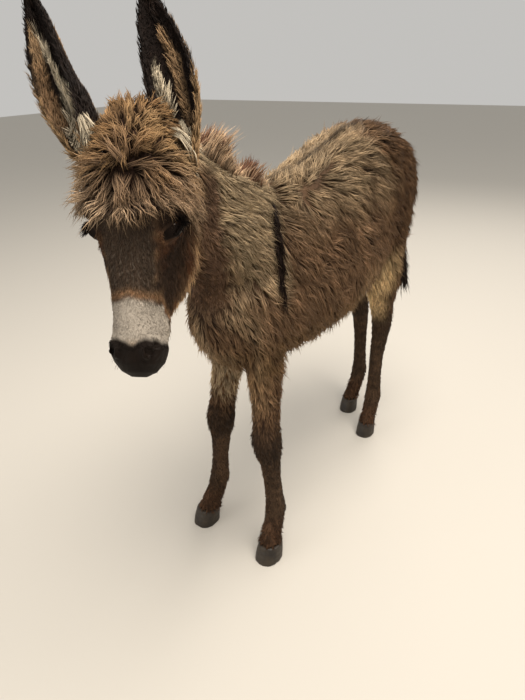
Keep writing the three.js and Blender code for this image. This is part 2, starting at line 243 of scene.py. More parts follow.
def nostril_distance(local):
    """Distance from the comma of each nostril, head mm."""
    best = np.full(len(local), 1e9)
    for s in (1, -1):
        for t in np.linspace(0, 1, 9):
            a = math.radians(-70 + 190 * t)
            bend = (s * (1 + 7.5 * math.cos(a) * (1 - .25 * t)), 2 + 6 * t, 10.5 * math.sin(a) - 1)
            best = np.minimum(best, long((local - NOSTRIL_AT * (s, 1, 1) - bend) * (1, .7, 1)))
    return best


def stripe_line(z):
    """Where the shoulder cross runs, y for each height, stance mm."""
    return np.interp(z, *CROSS)


def waves(points, wavelength, seed):
    """Smooth noise of about -1 to 1 over points in mm."""
    rng = np.random.default_rng(seed)
    ways = unit(rng.normal(size=(6, 3))) * (2 * np.pi / wavelength * rng.uniform(.6, 1.5, (6, 1)))
    return np.sin(points @ ways.T + rng.uniform(0, 6.3, 6)).sum(1) / 2.6


def smoothed(values, edges, times, lam=.5, mu=None):
    """Each value moved towards the mean of its neighbours. With mu, a Taubin pair that keeps the volume."""
    flat = values.reshape(len(values), -1).astype(float)
    n, (a, b) = len(flat), edges.T
    degree = np.maximum(np.bincount(a, minlength=n) + np.bincount(b, minlength=n), 1)
    for share in ((lam,) if mu is None else (lam, mu)) * times:
        mean = [(np.bincount(a, column[b], n) + np.bincount(b, column[a], n)) / degree for column in flat.T]
        flat = flat + share * (np.stack(mean, 1) - flat)
    return flat.reshape(values.shape)


def normals_of(points, tris):
    a, b, c = (points[tris[:, k]] for k in range(3))
    face = np.cross(b - a, c - a)
    n = np.zeros_like(points)
    for k in range(3):
        for j in range(3):
            n[:, j] += np.bincount(tris[:, k], face[:, j], len(points))
    return unit(n)


def edges_of(tris):
    return np.unique(np.sort(np.concatenate([tris[:, [0, 1]], tris[:, [1, 2]], tris[:, [2, 0]]]), 1), axis=0)


# ---------------------------------------------------------------- meshes and materials
def add(tree, kind, inputs=None, **settings):
    """A node with its settings, and its inputs set or linked."""
    made = tree.nodes.new(kind)
    for key, value in settings.items():
        setattr(made, key, value)
    for key, value in (inputs or {}).items():
        if isinstance(value, bpy.types.NodeSocket):
            tree.links.new(value, made.inputs[key])
        else:
            made.inputs[key].default_value = value
    return made


def blank(name):
    material = bpy.data.materials.new(name)
    material.use_nodes = True
    material.node_tree.nodes.clear()
    return material, material.node_tree


def finish_of(tree, **inputs):
    """The surface shader and the output."""
    shader = add(tree, "ShaderNodeBsdfPrincipled", {k.replace("_", " "): v for k, v in inputs.items()})
    add(tree, "ShaderNodeOutputMaterial", {"Surface": shader.outputs[0]})


def attribute(tree, name):
    return add(tree, "ShaderNodeAttribute", attribute_name=name).outputs


def ranged(tree, value, start, end, low, high):
    """A value between start and end as one between low and high."""
    return add(tree, "ShaderNodeMapRange", {"Value": value, "From Min": start, "From Max": end,
                                            "To Min": low, "To Max": high}).outputs[0]


def scaled(tree, colour, share):
    return add(tree, "ShaderNodeVectorMath", {0: colour, "Scale": share}, operation="SCALE").outputs[0]


def raised(tree, height, strength, distance):
    return add(tree, "ShaderNodeBump", {"Strength": strength, "Distance": distance, "Height": height}).outputs[0]


def show(name, mesh, material):
    if name in bpy.data.objects:
        bpy.data.objects.remove(bpy.data.objects[name])
    made = bpy.data.objects.new(name, mesh)
    mesh.materials.clear()
    mesh.materials.append(material)
    bpy.context.scene.collection.objects.link(made)
    return made


def piece_from(name, points, tris, material, attributes=None, uv=None):
    """A joined mesh from arrays, smooth shaded, at the origin."""
    mesh = bpy.data.meshes.new(name)
    mesh.vertices.add(len(points))
    mesh.vertices.foreach_set("co", points.astype(np.float32).ravel())
    mesh.loops.add(3 * len(tris))
    mesh.loops.foreach_set("vertex_index", tris.astype(np.int32).ravel())
    mesh.polygons.add(len(tris))
    mesh.polygons.foreach_set("loop_start", np.arange(0, 3 * len(tris), 3, dtype=np.int32))
    mesh.polygons.foreach_set("use_smooth", np.ones(len(tris), bool))
    mesh.update(calc_edges=True)
    for key, values in (attributes or {}).items():
        kind, field = ("FLOAT_COLOR", "color") if values.ndim == 2 else ("FLOAT", "value")
        if values.ndim == 2:
            values = np.concatenate([values, np.ones((len(values), 1))], 1)
        mesh.attributes.new(key, kind, "POINT").data.foreach_set(field, values.astype(np.float32).ravel())
    if uv is not None:
        mesh.uv_layers.new(name="OFBake").data.foreach_set("uv", uv[tris.ravel()].astype(np.float32).ravel())
    mesh.validate()
    return show(name, mesh, material)


def copies(names, grow=0):
    """A bmesh of merged copies of these nodes, each swollen a little so that they fuse, and each face's node."""
    joined, owner = bmesh.new(), []
    for k, name in enumerate(names):
        part = bmesh.new()
        part.from_mesh(NODES[name].data)
        bmesh.ops.remove_doubles(part, verts=part.verts, dist=2e-5)
        part.normal_update()
        for v in part.verts:
            v.co += v.normal * grow
        owner += [k] * len(part.faces)
        loose = bpy.data.meshes.new("copy")
        part.to_mesh(loose)
        part.free()
        joined.from_mesh(loose)
        bpy.data.meshes.remove(loose)
    return joined, owner


def remeshed(bm, voxel):
    """The bmesh as one closed voxel surface."""
    mesh = bpy.data.meshes.new("voxels")
    bm.to_mesh(mesh)
    bm.free()
    body = bpy.data.objects.new("voxels", mesh)
    bpy.context.scene.collection.objects.link(body)
    remesh = body.modifiers.new("Remesh", "REMESH")
    remesh.mode, remesh.voxel_size = "VOXEL", voxel
    made = bmesh.new()
    made.from_object(body, bpy.context.evaluated_depsgraph_get())
    bpy.data.objects.remove(body)
    bpy.data.meshes.remove(mesh)
    return made


def arrays_of(bm):
    """The bmesh's points and triangles. It is freed."""
    bmesh.ops.triangulate(bm, faces=bm.faces)
    bm.verts.index_update()
    points = np.array([v.co for v in bm.verts])
    tris = np.array([[v.index for v in f.verts] for f in bm.faces])
    bm.free()
    return points, tris


def in_order(tris):
    """Triangles in an order that is the same in every run, each from its lowest point on."""
    tris = np.take_along_axis(tris, (tris.argmin(1)[:, None] + np.arange(3)) % 3, 1)
    return tris[np.lexsort(tris.T[::-1])]


# ---------------------------------------------------------------- sizes and colours
def size(name, description, default):
    return FloatProperty(name=name, description=description, default=default, subtype="DISTANCE", unit="LENGTH")


def paint(name, description, hexa):
    return FloatVectorProperty(name=name, description=description, default=linear(hexa), subtype="COLOR", size=3,
                               min=0, max=1)


class DonkeySizes(bpy.types.PropertyGroup):
    voxel: size("Skin grain", "Edge of the skin's faces on the trunk", 0.0066)
    trunk_depth: size("Trunk coat depth", "How far the skin lies under the coat on the trunk", 0.013)
    crown_depth: size("Crown coat depth", "How far the skin lies under the forelock", 0.023)
    trunk_length: size("Trunk hair", "Length of the locks on the barrel", 0.054)
    neck_length: size("Neck hair", "Length of the locks on the neck", 0.052)
    crown_length: size("Forelock hair", "Length of the locks over the poll and forehead", 0.058)
    cheek_length: size("Cheek hair", "Length of the locks along the jaw", 0.044)
    mane_length: size("Mane hair", "Length of the standing mane", 0.090)
    tuft_width: size("Lock width", "Width of one lock on the trunk", 0.0026)
    eye_radius: size("Eye radius", "Radius of the eyeball", 0.0175)
    seed: IntProperty(name="Seed", description="Seed of the coat's chance", default=11)


# Each root colour is darker underhair, and also painted shade deep in the coat; a lock runs from it at the root to the
# tip colour.
class DonkeyColours(bpy.types.PropertyGroup):
    # The back's colours are paler than the sides': painted light from above.
    back_tip: paint("Back tips", "Top-lit tips along the back", "#ab9474")
    back_root: paint("Back roots", "Underhair along the back", "#4b3828")
    side_tip: paint("Side tips", "Tips on the barrel and shoulder", "#907155")
    side_root: paint("Side roots", "Underhair on the barrel and shoulder", "#2d1f15")
    # The rump's colours are darker than the sides': painted shade over the rump.
    rump_tip: paint("Rump tips", "Tips over the rump", "#6d523a")
    rump_root: paint("Rump roots", "Underhair of the rump", "#2a1d14")
    belly_tip: paint("Belly tips", "Rusty fringe under the belly", "#876a49")
    belly_root: paint("Belly roots", "Underhair of the belly", "#3c2818")
    neck_tip: paint("Neck tips", "Tips on the neck", "#b8a281")
    neck_root: paint("Neck roots", "Underhair of the neck", "#4a3827")
    crown_tip: paint("Forelock tips", "Tips of the forelock", "#9f7f5c")
    crown_root: paint("Forelock roots", "Underhair of the forelock", "#2b1b11")
    face: paint("Face", "Dark grey-brown of the front of the face", "#524437")
    # The face side colour is darker than the face's front: on the head it is brown hair, partly painted shade on the
    # sides of the face.
    face_side: paint("Face side", "Darker side of the face", "#382a20")
    rust: paint("Rust", "Rusty hair round the eye and above the muzzle", "#6e452b")
    tan: paint("Tan", "Tan edge of the face and cheeks", "#b39470")
    muzzle: paint("Muzzle", "Grey-white band round the muzzle", "#a59c90")
    nose: paint("Nose", "Near-black nose leather", "#150c06")
    cream: paint("Cream", "Cream hair in the ears and inside the legs", "#cbbda4")
    ear: paint("Ear back", "Brown back of the ears", "#8c7150")
    rim: paint("Ear rim", "Black-brown rim and tip of the ears", "#1b110b")
    leg: paint("Lower leg", "Dark lower legs", "#493829")
    leg_tip: paint("Foreleg tips", "Brown wavy hair of the forearm", "#86664a")
    # The gaskin colour is pale hair, brightened as painted sunlight.
    gaskin: paint("Gaskin", "Yellow-grey front of the gaskin", "#e4c493")
    stripe: paint("Cross", "Black-brown shoulder cross and back stripe", "#1d110a")
    mane_tip: paint("Mane tips", "Pale outer hair of the mane", "#b5997a")
    mane_root: paint("Mane roots", "Reddish inner hair of the mane", "#553524")
    horn: paint("Hoof horn", "Greenish grey-brown hoof wall", "#2f271d")
    floor: paint("Floor", "Pale floor", "#c4bfb6")


def colours():
    c = bpy.context.scene.donkey_colours
    return SimpleNamespace(**{k: np.array(getattr(c, k)) for k in DonkeyColours.__annotations__})


class Tones:
    """Root and tip colours that markings are laid over one by one."""

    def __init__(self, root, tip):
        self.root, self.tip = root, tip

    def lay(self, share, root=None, tip=None, at_root=1, at_tip=1):
        """A marking over a share of the surface, with how strongly it dyes the roots and the tips."""
        if root is not None:
            self.root = mix(self.root, root, at_root * share)
        if tip is not None:
            self.tip = mix(self.tip, tip, at_tip * share)


# ---------------------------------------------------------------- markings, lie and size of the coat
def shares_of(share):
    return dict(zip(REGIONS, share.T))


def head_masks(local):
    """Shares of forelock, cheek, face and muzzle at points of the head, head mm."""
    x, y, down = np.abs(local[:, 0]), local[:, 1], -local[:, 2]
    edge = 120 + 9 * bell(local[:, 0] + 12, 24) - 6 * bell(x - 66, 24) * step(40, 8, y)
    edge += .25 * np.clip(y - 20, 0, 60) + 3 * waves(local, 30, 6)
    crown = step(edge + 6, edge - 10, down)
    muzzle = (1 - crown) * step(250, 272, down - .2 * x - .9 * np.clip(y + 8, 0, 70))
    rest, side = (1 - crown) * (1 - muzzle), step(14, 52, y)
    return crown, rest * side, rest * (1 - side), muzzle


def body_tones(c, w, stance, normal, down, mottle, fine):
    """Trunk and neck: paler along the back, which is painted light from above; darker over the loin, and darker over
    the rump as painted shade; rusty under the belly.
    """
    x, y, z = stance.T
    # Paler towards the top of the back: painted light from above.
    top = step(770, 905, z + 16 * mottle)
    coat = Tones(mix(c.side_root, c.back_root, top), mix(c.side_tip, c.back_tip, top))
    # Darker over the rump: painted shade.
    coat.lay(step(130, 260, y + 24 * mottle) * (1 - .3 * step(640, 560, z)), c.rump_root, c.rump_tip)
    coat.lay(step(640, 560, z + 10 * fine), c.belly_root, c.belly_tip)
    loin = bell(y - 112, 62) * bell(z - 900, 42) * clipped(.65 + fine)
    coat.lay(loin, c.stripe, c.rump_tip * .7, .6, .8)
    chest = step(-300, -380, y) * step(840, 760, z) * clipped(.5 + mottle)
    coat.lay(chest, tip=c.neck_tip, at_tip=.5)
    # The neck is paler, but dark low down and in the shade of the cheek.
    coat.lay(w["neck"], c.neck_root, c.neck_tip)
    behind = y - 16 - np.interp(z, *NECK_FRONT)
    throat = w["neck"] * step(880, 760, z + 20 * fine) * (1 - .8 * step(0, 40, behind) * step(690, 740, z))
    coat.lay(throat, c.side_root, c.side_tip, .7, .8)
    shaded = (w["neck"] + w["head"]) * step(12, -10, behind + 5 * fine) * step(20, 60, down)
    coat.lay(shaded, mix(c.side_root, c.rump_tip, .4), c.rump_tip * (.9, .92, 1.15), .85, .95)
    shoulder = w["trunk"] * span(y, -410, -370, -255, -225) * step(690, 750, z)
    coat.lay(shoulder, c.neck_root, c.neck_tip, .5, .8)
    # The stifle takes the pale gaskin colour, which holds painted sunlight, over roots of a darker copy, painted shade
    # in the coat.
    stifle = w["trunk"] * step(-.25, .35, -normal[:, 1]) * step(20, 90, y) * step(700, 640, z) * step(0, 60, np.abs(x))
    coat.lay(stifle, c.gaskin * .5, c.gaskin, 1, .9)
    # The shoulder cross with paler hair beside it, and the back stripe.
    off = y - stripe_line(z) + 1.5 * waves(stance, 60, 5)
    front = w["trunk"] + w["neck"]
    beside = np.maximum(bell(off - 15, 7), .6 * bell(off + 15, 7)) * span(z, 650, 720, 860, 905) * front
    coat.lay(beside, c.neck_root, c.neck_tip, .6, .75)
    cross = step(9, 4.5, np.abs(off)) * np.interp(z, *CROSS_TONE) * front
    back = bell(x - 3, 11) * step(-190, -150, y) * step(0, .5, normal[:, 2]) * w["trunk"] * .8
    coat.lay(np.maximum(cross, back), c.stripe, c.stripe, 1, .96)
    return coat


def lay_legs(coat, c, w, stance, normal, mottle, fine):
    """Dark lower legs, rusty at the pastern, with the fronts and inner sides pale higher up."""
    x, y, z = stance.T
    right = x < 0
    inner = step(-.2, .75, -normal[:, 0] * np.sign(x))
    low_root, low_tip = mix(c.leg, c.rim, .35), mix(c.leg, c.leg_tip, .15 * clipped(fine))
    high = step(330, 430, z + 12 * mottle)
    fore = Tones(mix(low_root, c.side_root, high), mix(low_tip, c.leg_tip, high))
    fore.lay(bell(z - 330, 48), tip=c.face_side, at_tip=.6)
    front = np.where(right, 1.1, .75) * step(0, .9, -normal[:, 1]) * step(400, 470, z)
    pale = high * clipped(.85 * inner + front) * step(385, 435, z)
    pale_tip = mix(c.tan, c.cream, np.where(right, .8, .2)) * (1, .93, .82)
    fore.lay(pale, c.leg_tip, pale_tip, .6, np.where(right, .95, .8))
    high = step(400, 500, z)
    hind = Tones(mix(low_root, c.rump_root, high), mix(low_tip, c.rump_tip, high))
    # The hind leg's front and inner side take the pale gaskin colour with painted sunlight, over roots of a darker
    # copy, painted shade.
    hind.lay(high * clipped(.9 * step(-.1, .7, -normal[:, 1]) + .5 * inner), c.gaskin * .6, c.gaskin)
    coat.lay(sum(w[r] for r in LEGS[:3]), fore.root, fore.tip)
    coat.lay(sum(w[r] for r in LEGS[3:]), hind.root, hind.tip)
    coat.lay(w["fore_cannon"] * inner, tip=c.leg_tip, at_tip=.35)
    coat.lay(w["fore_pastern"] + w["hind_pastern"], tip=c.rust, at_tip=.35)


def lay_eye(head, c, s, local, down, fine):
    """Rust at the inner corner, under the eye and down from it, black-brown lids spread wider as painted shade from the
    brow and lashes, and a pale lower lid line that is a painted highlight on the moist lid.
    """
    ahead, along, over = eye_axes(s)
    eye = local - EYE_AT * (s, 1, 1)
    u, v = eye @ along, eye @ over
    here = (long(eye) < 52) & (eye @ ahead > -14)
    head.lay(here * bell(u + 27, 10) * bell(v - 2, 12), c.rust, mix(c.rust, c.tan, .35), .7, .9)
    head.lay(here * bell(v + 18, 9) * bell(u, 24), c.rust, c.rust, .4, .6 * clipped(.7 + .6 * fine))
    tear = bell(local[:, 0] - s * 54, 9) * bell(down - 200, 24) * step(10, -20, local[:, 1])
    head.lay(tear, tip=c.rust, at_tip=.6 * clipped(.6 + .6 * fine))
    # Black-brown lids over an ellipse wider than the opening: the lid skin, and painted shade from the brow and lashes.
    head.lay(here * step(1.15, .85, np.hypot(u / 27, v / np.where(v > 0, 14, 9.5))), c.rim, c.rim)
    # A pale line along the lower lid: a painted highlight on the moist lid.
    head.lay(here * bell(v + 6.4 + .012 * u ** 2, 1.2) * bell(u - 1, 9), c.muzzle, c.muzzle, .7, .7)


def head_tones(c, stance, local, down, mottle, fine):
    """The forelock with its dark partings, the dark face with its tan edges, the grey muzzle and the nose."""
    in_crown, in_cheek, _, in_muzzle = head_masks(local)
    x, y, z = local.T
    side = np.abs(x)
    crown = mix(c.crown_tip, c.neck_tip, .4 * clipped(.4 + .6 * mottle) + .35 * step(50, 95, down))
    crown = crown * mix((1.02, 1.02, .9), (1.02, 1, 1.07), step(30, 80, down))
    # The partings of the forelock show the root colour: darker underhair, and painted shade in the gaps.
    gap = bell(long(from_segment(local, *WHORL)) - 8, 20) * clipped(.45 + 1.1 * waves(stance, 26, 9))
    gap = np.maximum(gap, .8 * bell(by_line(local, SIDE_GAP), 9))
    crown = mix(mix(crown, c.rust, .28 * step(-70, -20, z)), c.crown_root, .85 * gap)
    # Off the crown the head starts from the darker face side colour: brown hair, and painted shade on the sides of the
    # face.
    head = Tones(mix(c.face_side, c.crown_root, in_crown), mix(c.face_side, crown, in_crown))
    for ends in BUNDLES:
        # The cream bundles' roots are a darker copy of the cream: painted shade in the forelock.
        head.lay(in_crown * bell(by_line(local, ends), 9), c.cream * .55, c.cream)
    plane = step(46, 36, side + .07 * (down - 200)) * step(-4, -26, y) * (1 - in_crown)
    head.lay(plane, c.face_side, c.face)
    frost = plane * clipped(waves(stance * (1, 1, .25), 5, 12) - .1) * step(140, 215, down)
    head.lay(frost, tip=c.muzzle, at_tip=.24)
    seam = bell(side - 44 + .07 * (down - 174), 4) * bell(y + 30, 22) * clipped(.5 + .5 * fine)
    head.lay(seam * (1 - in_crown) * (1 - in_muzzle), c.rust, c.tan, .6, .5)
    # The cheek's rear edge: pale tan hair, brightened beyond the tan as a painted highlight where light catches the
    # fringe along the outline.
    edge = in_cheek * step(52, 75, y + 8 * fine)
    head.lay(edge, c.leg_tip, c.tan * 1.35)
    jaw = in_cheek * (1 - edge)
    head.lay(jaw, tip=c.leg_tip, at_tip=.5)
    head.lay(jaw * clipped(waves(stance * (1, 1, .3), 18, 8)), tip=c.rust, at_tip=.8)
    for s in (1, -1):
        lay_eye(head, c, s, local, down, fine)
    edge = 250 + .2 * side + .9 * np.clip(y + 8, 0, 70)
    head.lay(bell(down - edge - 6, 8) * (1 - in_crown), c.rust, mix(c.tan, c.rust, .35), .75, .85)
    head.lay(step(edge + 9, edge + 19, down + 2 * fine), mix(c.muzzle, c.tan, .1), c.muzzle)
    edge = 332 - 5 * bell(side - 26, 12) + 5 * bell(x - 3, 8) + 8 * step(36, 50, side) + .3 * np.clip(y, 0, 60)
    head.lay(bell(x - 4, 9) * bell(down - edge, 6), tip=c.tan, at_tip=.6)
    head.lay(step(edge - 5, edge + 5, down), c.nose, c.nose)
    return head


def paints(stance, share, normal):
    """Root and tip colours at points of the skin: the one marking both the skin and the coat carry."""
    c, w, local = colours(), shares_of(share), to_head(stance)
    mottle, fine, down = waves(stance, 90, 3), waves(stance, 34, 4), -local[:, 2]
    coat = body_tones(c, w, stance, normal, down, mottle, fine)
    lay_legs(coat, c, w, stance, normal, mottle, fine)
    head = head_tones(c, stance, local, down, mottle, fine)
    coat.lay(w["head"], head.root, head.tip)
    coat.lay(w["tail"], c.stripe, c.rump_tip, .5)
    vary = (1 + .10 * mottle + .07 * fine)[:, None]
    return clipped(coat.root * vary), clipped(coat.tip * vary)


def lies(stance, normal, share):
    """Which way the hair runs over the skin, stance axes, laid on the surface."""
    x, y, z = stance.T
    local, w = to_head(stance), shares_of(share)
    lx, ly, lz = local.T
    in_crown, in_cheek, in_face, in_muzzle = head_masks(local)
    side = np.sign(x - 4)
    top, under = step(.55, .95, normal[:, 2]), step(-.4, -.9, normal[:, 2])
    trunk = columns(.15 * side * (1 - under), .62 + .5 * top + .8 * under, -1.0 + .95 * top)
    trunk = mix(trunk, columns(.25 * side, .15, -1), step(-300, -385, y))
    trunk = mix(trunk, columns(.1 * side, .35, -1), step(260, 420, y))
    away = from_segment(stance, *PARTING)
    drift = columns(*(waves(stance, 30, seed) for seed in (26, 27, 28)))
    trunk += 1.5 * bell(long(away) - 12, 42)[:, None] * unit(away + 9 * drift)
    drift = columns(waves(stance, 36, 24), 0, waves(stance, 36, 25)) * (13 + 16 * step(-62, -34, lz))[:, None]
    crown = unit(from_segment(local, *WHORL) + drift) @ HEAD_ROT.T + np.outer(step(-50, -98, lz), (0, 0, -1.15))
    for start, end in BUNDLES:
        hang = 1.4 * bell(by_line(local, (start, end)), 11)
        crown = crown * clipped(1 - hang)[:, None] + np.outer(hang, HEAD_ROT @ unit(np.subtract(end, start)))
    crown = mix(crown, (0, .7, -.75), step(30, 80, ly) * in_crown)
    cheek = columns(.12 * np.sign(lx), .3 + .75 * step(45, 88, ly), -.9) @ HEAD_ROT.T
    face = columns(.25 * np.sign(lx) * step(0, 20, np.abs(lx)), .12, -1) @ HEAD_ROT.T
    legs = sum(w[r] for r in LEGS)
    flow = sum(part[:, None] * way for part, way in (
        (w["trunk"], trunk), (w["neck"], columns(.1 * side, .85, -.85)), (w["head"] * in_crown, crown),
        (w["head"] * in_cheek, cheek), (w["head"] * (in_face + in_muzzle), face),
        (legs, np.array([0, .22, -1])), (w["tail"] + w["ear"], np.array([0, .3, -1]))))
    flow = laid(flow, normal)
    sway = .34 * waves(stance, 85, 21) + .2 * waves(stance, 32, 22) + .35 * w["head"] * in_crown * waves(stance, 26, 23)
    sway = sway * (1 - .75 * w["head"] * (1 - in_crown)) * (1 - .5 * legs)
    return unit(flow + np.cross(normal, flow) * sway[:, None])


def hair_sizes(stance, share):
    """The coat's depth, length, width, rise at the root, fall at the tip and droop: metres and degrees."""
    s = bpy.context.scene.donkey_sizes
    x, y, z = stance.T
    local, w = to_head(stance), shares_of(share)
    lx, ly, lz = local.T
    crown, cheek, face, muzzle = head_masks(local)
    head = [sum(part * value for part, value in zip((crown, cheek, face, muzzle), row)) for row in (
        (s.crown_depth, .010, .0035, .0015),
        (s.crown_length, s.cheek_length, .011, .0048),
        (.0022, .0020, .0014, .0009),
        (22 + 16 * step(-110, -60, lz), 14 + 14 * step(60, 95, ly), 16, 7),
        (2, 0, 5, 4),
    )]
    # The poll's hair is shorter and stays clear of the ears' roots, but for the cream hair that hangs from them.
    by_ear = bell(long(columns(np.abs(lx) - 76, ly + 42, lz + 14)), 40)
    length = head[1] * (1 - .45 * cheek * step(200, 265, -lz)) * (1 - .5 * cheek * step(60, 20, ly))
    length = length * (1 - .66 * crown * by_ear) * (1 - .38 * crown * step(-62, -22, lz))
    bundle = crown * np.maximum(*(bell(by_line(local, ends), 9) for ends in BUNDLES))
    head[1] = length * (1 - bundle) + .032 * bundle
    head[3] = head[3] * (1 - .5 * crown * by_ear)
    forearm, thigh = step(300, 545, z), step(372, 580, z)
    cannon, pastern = (.0032, .012, .0016, 14, 4), (.0036, .019, .0021, 20, 8)
    table = {
        "trunk": (s.trunk_depth, s.trunk_length, s.tuft_width, 18, 0),
        "neck": (s.trunk_depth * .9, s.neck_length, s.tuft_width * .95, 19, 0),
        "head": head,
        "fore_forearm": (.004 + .004 * forearm, .016 + .018 * forearm, .0019 + .0006 * forearm, 20, 3),
        "fore_cannon": cannon,
        "fore_pastern": pastern,
        "hind_gaskin": (.004 + .004 * thigh, .016 + .016 * thigh, .0019 + .0006 * thigh, 18, 3),
        "hind_cannon": cannon,
        "hind_pastern": pastern,
        "tail": (.008, .03, .003, 25, 5),
        "ear": (.003, .013, .0019, 20, 6),
    }
    out = {key: sum(w[r] * row[k] for r, row in table.items())
           for k, key in enumerate(("depth", "length", "width", "rise", "fall"))}
    belly = w["trunk"] * step(620, 560, z)
    near_head = w["neck"] * step(30, 0, y - np.interp(z, *NECK_FRONT)) * step(-30, -70, lz)
    chest = (w["trunk"] + w["neck"] * step(830, 760, z)) * step(-330, -400, y)
    groove = w["trunk"] * bell(y - stripe_line(z), 9) * step(645, 700, z)
    shorter = .15 * w["trunk"] * step(200, 330, y) + .5 * near_head + .3 * chest
    out["length"] *= (1 + .1 * belly - shorter) * (1 - .35 * groove)
    out["rise"] *= 1 - .5 * near_head - .4 * chest
    out["depth"] += .006 * chest + .003 * w["trunk"] * step(105, 150, x)
    out["droop"] = .08 + .3 * belly + .15 * w["neck"] * step(860, 760, z) + w["head"] * (.2 * crown + .3 * cheek)
    return out


# ---------------------------------------------------------------- materials
HAIRS = {"long": ("winter_guard_hair", .7, .38, .35), "short": ("short_summer_nap", .66, .16, .22),
         "mane": ("coarse_mane_hair", .55, .4, .45)}


def hair_of(kind):
    """Matt guard hair in locks: fine strands run the length of each, so it looks combed and soft, not moulded."""
    name, roughness, streak, relief = HAIRS[kind]
    if name in bpy.data.materials:
        return bpy.data.materials[name]
    material, tree = blank(name)
    # Strands of about 0.5 mm, coarser than the real 0.06 mm so that they show.
    strands = add(tree, "ShaderNodeTexNoise", {"W": attribute(tree, "strand")["Fac"], "Scale": 4.5, "Detail": 2.0,
                                               "Roughness": .6}, noise_dimensions="1D").outputs["Fac"]
    shade = ranged(tree, strands, .28, .72, 1 - streak, 1 + streak)
    finish_of(tree, Base_Color=scaled(tree, attribute(tree, "coat")["Color"], shade), Roughness=roughness,
              Specular_IOR_Level=.16, Normal=raised(tree, strands, relief, .0006))
    return material


def haired_skin():
    """Skin with a nap of 1 mm hair, and pebbled leather on the nose: matt, but for the nose's damp satin."""
    material, tree = blank("haired_skin")
    place = add(tree, "ShaderNodeTexCoord").outputs["Object"]
    leather = attribute(tree, "leather")["Fac"]
    lie = add(tree, "ShaderNodeMapping", {"Vector": place, "Scale": (1, 1, .3)}).outputs[0]
    nap = add(tree, "ShaderNodeTexNoise", {"Vector": lie, "Scale": 900.0, "Detail": 3.0, "Roughness": .65}).outputs[0]
    blotch = add(tree, "ShaderNodeTexNoise", {"Vector": place, "Scale": 60.0, "Detail": 4.0}).outputs["Fac"]
    pebble = add(tree, "ShaderNodeTexVoronoi", {"Vector": place, "Scale": 520.0}).outputs["Distance"]
    shades = ranged(tree, nap, .3, .7, .72, 1.22), ranged(tree, blotch, .3, .7, .85, 1.12)
    shade = add(tree, "ShaderNodeMath", {0: shades[0], 1: shades[1]}, operation="MULTIPLY").outputs[0]
    height = add(tree, "ShaderNodeMix", {"Factor": leather, "A": nap, "B": pebble}).outputs["Result"]
    finish_of(tree, Base_Color=scaled(tree, attribute(tree, "coat")["Color"], shade),
              Roughness=ranged(tree, leather, 0, 1, .78, .6), Specular_IOR_Level=.13,
              Normal=raised(tree, height, .5, .0007))
    return material


def wet_eye():
    """A wet cornea over a black-brown iris and a long level pupil: nearly black, with one clear reflection."""
    material, tree = blank("wet_eye")
    finish_of(tree, Base_Color=attribute(tree, "iris")["Color"], Roughness=.16, Specular_IOR_Level=.2, Coat_Weight=.38,
              Coat_Roughness=.03, IOR=1.376)
    return material


def hoof_horn():
    """Dry hoof wall: level growth rings about 4 mm apart, crossed by fine upright tubules, with a worn satin."""
    material, tree = blank("hoof_horn")
    place = add(tree, "ShaderNodeTexCoord").outputs["Object"]
    tone = np.append(colours().horn, 1.0)
    rings = add(tree, "ShaderNodeTexWave", {"Vector": place, "Scale": 26.0, "Distortion": 2.2, "Detail": 2.0,
                                            "Detail Scale": 2.0}, bands_direction="Z").outputs["Fac"]
    upright = add(tree, "ShaderNodeMapping", {"Vector": place, "Scale": (1, 1, .06)}).outputs[0]
    tubes = add(tree, "ShaderNodeTexNoise", {"Vector": upright, "Scale": 700.0, "Detail": 3.0}).outputs["Fac"]
    stain = add(tree, "ShaderNodeTexNoise", {"Vector": place, "Scale": 45.0, "Detail": 5.0}).outputs["Fac"]
    colour = add(tree, "ShaderNodeValToRGB", {"Fac": stain})
    dark, pale = colour.color_ramp.elements
    dark.position, dark.color = .32, tuple(tone * (.45, .42, .40, 1))
    pale.position, pale.color = .68, tuple(tone * (1.25, 1.2, 1.1, 1))
    height = add(tree, "ShaderNodeMath", {0: rings, 1: tubes}, operation="ADD").outputs[0]
    finish_of(tree, Base_Color=colour.outputs[0], Roughness=.5, Specular_IOR_Level=.45,
              Normal=raised(tree, height, .5, .0008))
    return material


# ---------------------------------------------------------------- the skin
SKIN = {}


def region_of(node):
    """The region of a node of flesh. The eyes' sockets belong to the head."""
    return REGIONS.index("head" if node.startswith("eye") else node.removesuffix("_left").removesuffix("_right"))


def chosen_edges(bm, inside):
    """Edges whose two ends both pass a test of head millimetres."""
    keep = inside(to_head(to_stance(np.array([v.co for v in bm.verts]))))
    bm.verts.index_update()
    return [e for e in bm.edges if keep[e.verts[0].index] and keep[e.verts[1].index]]


